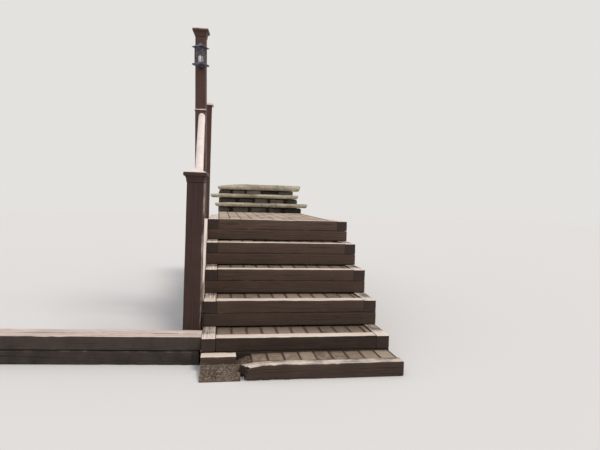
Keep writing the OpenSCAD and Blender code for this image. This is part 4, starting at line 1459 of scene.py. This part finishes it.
class GARDENSTEPS_OT_lantern(bpy.types.Operator):
    """Lantern on its arm: base, cage, glass, roof and candle"""
    bl_idname = "gardensteps.lantern"
    bl_label = "Lantern"

    def execute(self, context):
        look = context.scene.steps_lantern
        metal = finish_named("dark_painted_sheet_metal", painted_sheet_metal, colours().metal, "#737083")
        post, width, _ = post_frame("lamp_post")
        candle = sum(box("lantern_candle")) / 2
        centre = unplaced(candle[None], post)[0]

        def at(z):
            return turned_about(post, (centre[0], centre[1], z), look.turn)

        base, cage, roof = (unplaced(corners("lantern_" + part), post)[:, 2] for part in ("base", "cage", "roof"))
        foot, sill, eaves, peak = base.min(), cage.min(), roof.min(), roof.max()
        half, body, bar = look.plate / 2, look.body / 2, look.bar
        # base: a folded tray with a rolled lip, its arm and the plate on the post
        work = Workpiece()
        thick = sill - foot - CLEARANCE
        rows = [(half - 0.02, 0.0), (half - 0.006, 0.0005), (half - 0.001, 0.003), (half, 0.006),
                (half, thick - 0.002), (half - 0.0015, thick), (half - 0.004, thick),
                (half - 0.0055, thick - 0.003),
                (half - 0.012, thick - 0.004), (body + 0.002, thick - 0.003), (body + 0.001, thick)]
        # the lip and top of the tray are painted paler, as painted sky reflection
        square_moulding(work, at(foot), rows, 0.003, 3, 0.5, [0.0] * 4 + [0.9] * 7)
        face = -width / 2 - CLEARANCE
        across, deep = post[:3, 0], post[:3, 1]
        edged_bar(work, post, (0, centre[1] + 0.01, foot + 0.003), (0, face - 0.003, foot + 0.003), 0.02, 0.006,
                  (0, 0, 1))
        edged_bar(work, post, (0, face - 0.003, foot), (0, face - 0.003, foot + 0.09), 0.04, 0.006, deep, 0.0012)
        edged_bar(work, post, (0, face - 0.005, foot + 0.045), (0, face - 0.045, foot + 0.005), 0.006, 0.005,
                  across)
        for z in (0.018, 0.072):
            screw = turned_about(post, (0, face - 0.006, foot + z), math.pi / 2, "X")
            lathe(work, screw, [(0.0045, 0.0), (0.0045, 0.0008), (0.0035, 0.002), (0.0012, 0.0026)], 16)
        work.piece("lantern_tray", [metal], "lantern_metal", "lantern_base")
        # cage: four folded corner angles between a bottom and a top frame
        work = Workpiece()
        tall = eaves - sill - 2 * CLEARANCE
        inset = body - bar / 2
        outer = inset + bar / 4
        for side in four_sides(at(sill)):
            edged_bar(work, side, (inset, inset, 0), (inset, inset, tall), bar, bar, side[:3, 1], 0.0012)
            for z, rise in ((0.004, 0.008), (tall - 0.004, 0.008), (tall * 0.86, 0.0035)):
                edged_bar(work, side, (-inset, outer, z), (inset, outer, z), bar / 2, rise, side[:3, 2], 0.0006)
        work.piece("lantern_frame", [metal], "lantern_metal", "lantern_cage")
        # glass: four thin panes behind the bars
        work = Workpiece()
        pane = body - bar / 4 - 0.0018
        for side in four_sides(at(sill)):
            edged_bar(work, side, (0, pane, 0.001), (0, pane, tall - 0.001), 2 * pane - 0.004, 0.0022, side[:3, 1],
                      0.0003)
        work.piece("lantern_panes", [finish_named("window_glass_thin", window_glass)], "lantern_glass",
                   "lantern_glass")
        # roof: four folded leaves with raised hips and a pinched top
        work = Workpiece()
        rise = peak - eaves
        rows = [(body, 0.0002), (half - 0.003, 0.0), (half - 0.0006, 0.001), (half, 0.0026), (half, rise * 0.1),
                (half - 0.0015, rise * 0.125)]
        for share in np.linspace(0.06, 1, 12):
            curve = share - 0.1 * math.sin(math.pi * share)
            rows.append((half * (1 - 0.7 * share), rise * (0.12 + 0.58 * curve)))
        rows += [(half * wide, rise * level) for wide, level in (
            (0.25, 0.76), (0.2, 0.83), (0.17, 0.9), (0.16, 0.97), (0.12, 1))]
        # the roof's slopes are painted paler, as painted sky reflection
        square_moulding(work, at(eaves), rows, 0.0016, 3, 0.5, [0.0, 0.0, 0.3, 0.6] + [1.0] * (len(rows) - 4))
        hips = [(wide, wide, level) for wide, level in rows[5:18]]
        for side in four_sides(at(eaves)):
            for start, end in zip(hips, hips[1:]):
                edged_bar(work, side, start, end, 0.0036, 0.0036, side[:3, 2], 0.0008)
        work.piece("lantern_top", [metal], "lantern_metal", "lantern_roof")
        # candle: a poured stub with a melted hollow and a wick
        low, high = box("lantern_candle")
        radius, tall = (high[0] - low[0]) / 2, high[2] - low[2]
        work = Workpiece()
        spot = at(unplaced(np.array([[candle[0], candle[1], low[2]]]), post)[0, 2])
        rows = [(0.97, 0.0), (1, 0.002), (1, tall * 0.6), (0.995, tall - 0.003), (0.96, tall - 0.0006),
                (0.88, tall),
                (0.76, tall - 0.0025), (0.45, tall - 0.005), (0.1, tall - 0.0055)]
        lathe(work, spot, [(radius * wide, level) for wide, level in rows], 40, 0.6)
        work.piece("lantern_candle_stub", [finish_named("candle_wax_poured", candle_wax)], "candle_wax",
                   "lantern_candle")
        work = Workpiece()
        lathe(work, spot, [(0.0012, tall - 0.006), (0.0013, tall - 0.001), (0.0011, tall + 0.004),
                           (0.0006, tall + 0.006)], 10, 0.1)
        work.piece("lantern_wick", [metal], "lantern_metal")
        return {"FINISHED"}


class GARDENSTEPS_OT_stage(bpy.types.Operator):
    """Pale floor, soft light and the camera"""
    bl_idname = "gardensteps.stage"
    bl_label = "Stage"

    def execute(self, context):
        scene, look = context.scene, context.scene.steps_stage
        scene.view_settings.view_transform = "Standard"
        yaw, down, roll = look.aim
        ahead = Vector((math.sin(yaw) * math.cos(down), math.cos(yaw) * math.cos(down), -math.sin(down)))
        right = Vector((math.cos(yaw), -math.sin(yaw), 0))
        below = ahead.cross(right)
        level = math.cos(roll) * right + math.sin(roll) * below
        under = -math.sin(roll) * right + math.cos(roll) * below
        lens = bpy.data.cameras.new("camera")
        lens.sensor_width, lens.lens, lens.clip_end = 36.0, look.lens, 200.0
        camera = bpy.data.objects.new("camera", lens)
        turned = Matrix((level, -under, -ahead)).transposed().to_4x4()
        camera.matrix_world = Matrix.Translation(look.place) @ turned
        scene.collection.objects.link(camera)
        scene.camera = camera

        finish, add = new_finish("floor_paint_matt")
        cloud = add("TexNoise", Scale=0.6, Detail=2.0)
        tone = add("MapRange", cloud, To_Min=0.985, To_Max=1.015)
        colour = add("Mix", 1.0, (*look.floor, 1.0), tone, blend_type="MULTIPLY")
        disc = bpy.data.meshes.new("floor")
        sides, radius, level = 96, 60, -0.002  # the level is just clear of the timbers' undersides
        angle = np.linspace(0, 2 * math.pi, sides, endpoint=False)
        disc.from_pydata([(radius * math.cos(a), radius * math.sin(a), level) for a in angle], [],
                         [tuple(range(sides))])
        disc.materials.append(surfaced(finish, Base_Color=colour, Roughness=0.85, Specular_IOR_Level=0.1))
        floor = bpy.data.objects.new("floor", disc)
        scene.collection.objects.link(floor)

        world = bpy.data.worlds.new("sky")
        world.use_nodes = True
        world.node_tree.nodes.clear()
        add = functools.partial(add_node, world.node_tree)
        rays = add("LightPath").outputs
        seen = add("Math", rays["Is Camera Ray"], rays["Is Glossy Ray"], operation="MAXIMUM")
        seen = add("Math", seen, rays["Is Transmission Ray"], operation="MAXIMUM")
        soft = add("Background", Color=srgb("#f7f9ff"), Strength=look.sky)
        plain = add("Background", Color=(*look.floor, 1.0), Strength=1.0)
        add("OutputWorld", Surface=add("MixShader", seen, soft, plain))
        scene.world = world
        for name, toward, spread, power, code in (
            ("key", (0.55, -0.45, 1.0), 24, look.key, "#fff6ec"),
            ("fill", (-0.5, -0.8, 0.55), 60, look.key * 0.22, "#eef3ff"),
        ):
            lamp = bpy.data.lights.new(name, "SUN")
            lamp.angle, lamp.energy, lamp.color = math.radians(spread), power, srgb(code)[:3]
            made = bpy.data.objects.new(name, lamp)
            made.location = Vector(toward) * 5
            made.rotation_euler = Vector(toward).to_track_quat("Z", "Y").to_euler()
            scene.collection.objects.link(made)
        return {"FINISHED"}


OPERATORS = (GARDENSTEPS_OT_stage, GARDENSTEPS_OT_risers, GARDENSTEPS_OT_sides, GARDENSTEPS_OT_low_step,
             GARDENSTEPS_OT_paving, GARDENSTEPS_OT_rubble, GARDENSTEPS_OT_slabs, GARDENSTEPS_OT_kerb,
             GARDENSTEPS_OT_newel, GARDENSTEPS_OT_upper_post, GARDENSTEPS_OT_band, GARDENSTEPS_OT_skirt,
             GARDENSTEPS_OT_rail, GARDENSTEPS_OT_lantern)


class GARDENSTEPS_PT_panel(bpy.types.Panel):
    """Lists the operators and their settings"""
    bl_idname = "GARDENSTEPS_PT_panel"
    bl_label = "Garden Steps"
    bl_space_type = "VIEW_3D"
    bl_region_type = "UI"
    bl_category = "Garden Steps"

    def draw(self, context):
        for kind in OPERATORS:
            self.layout.operator(kind.bl_idname)
        for name in GROUPS:
            group = getattr(context.scene, name)
            part = self.layout.box()
            for key in type(group).__annotations__:
                part.prop(group, key)


def register():
    for kind in (*GROUPS.values(), *OPERATORS, GARDENSTEPS_PT_panel):
        bpy.utils.register_class(kind)
    for name, kind in GROUPS.items():
        setattr(bpy.types.Scene, name, bpy.props.PointerProperty(type=kind))


def unregister():
    for name in GROUPS:
        delattr(bpy.types.Scene, name)
    for kind in (GARDENSTEPS_PT_panel, *reversed(OPERATORS), *reversed(GROUPS.values())):
        bpy.utils.unregister_class(kind)


def main():
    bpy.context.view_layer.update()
    register()
    for kind in OPERATORS:
        family, name = kind.bl_idname.split(".")
        getattr(getattr(bpy.ops, family), name)()


if __name__ == "__main__":
    main()
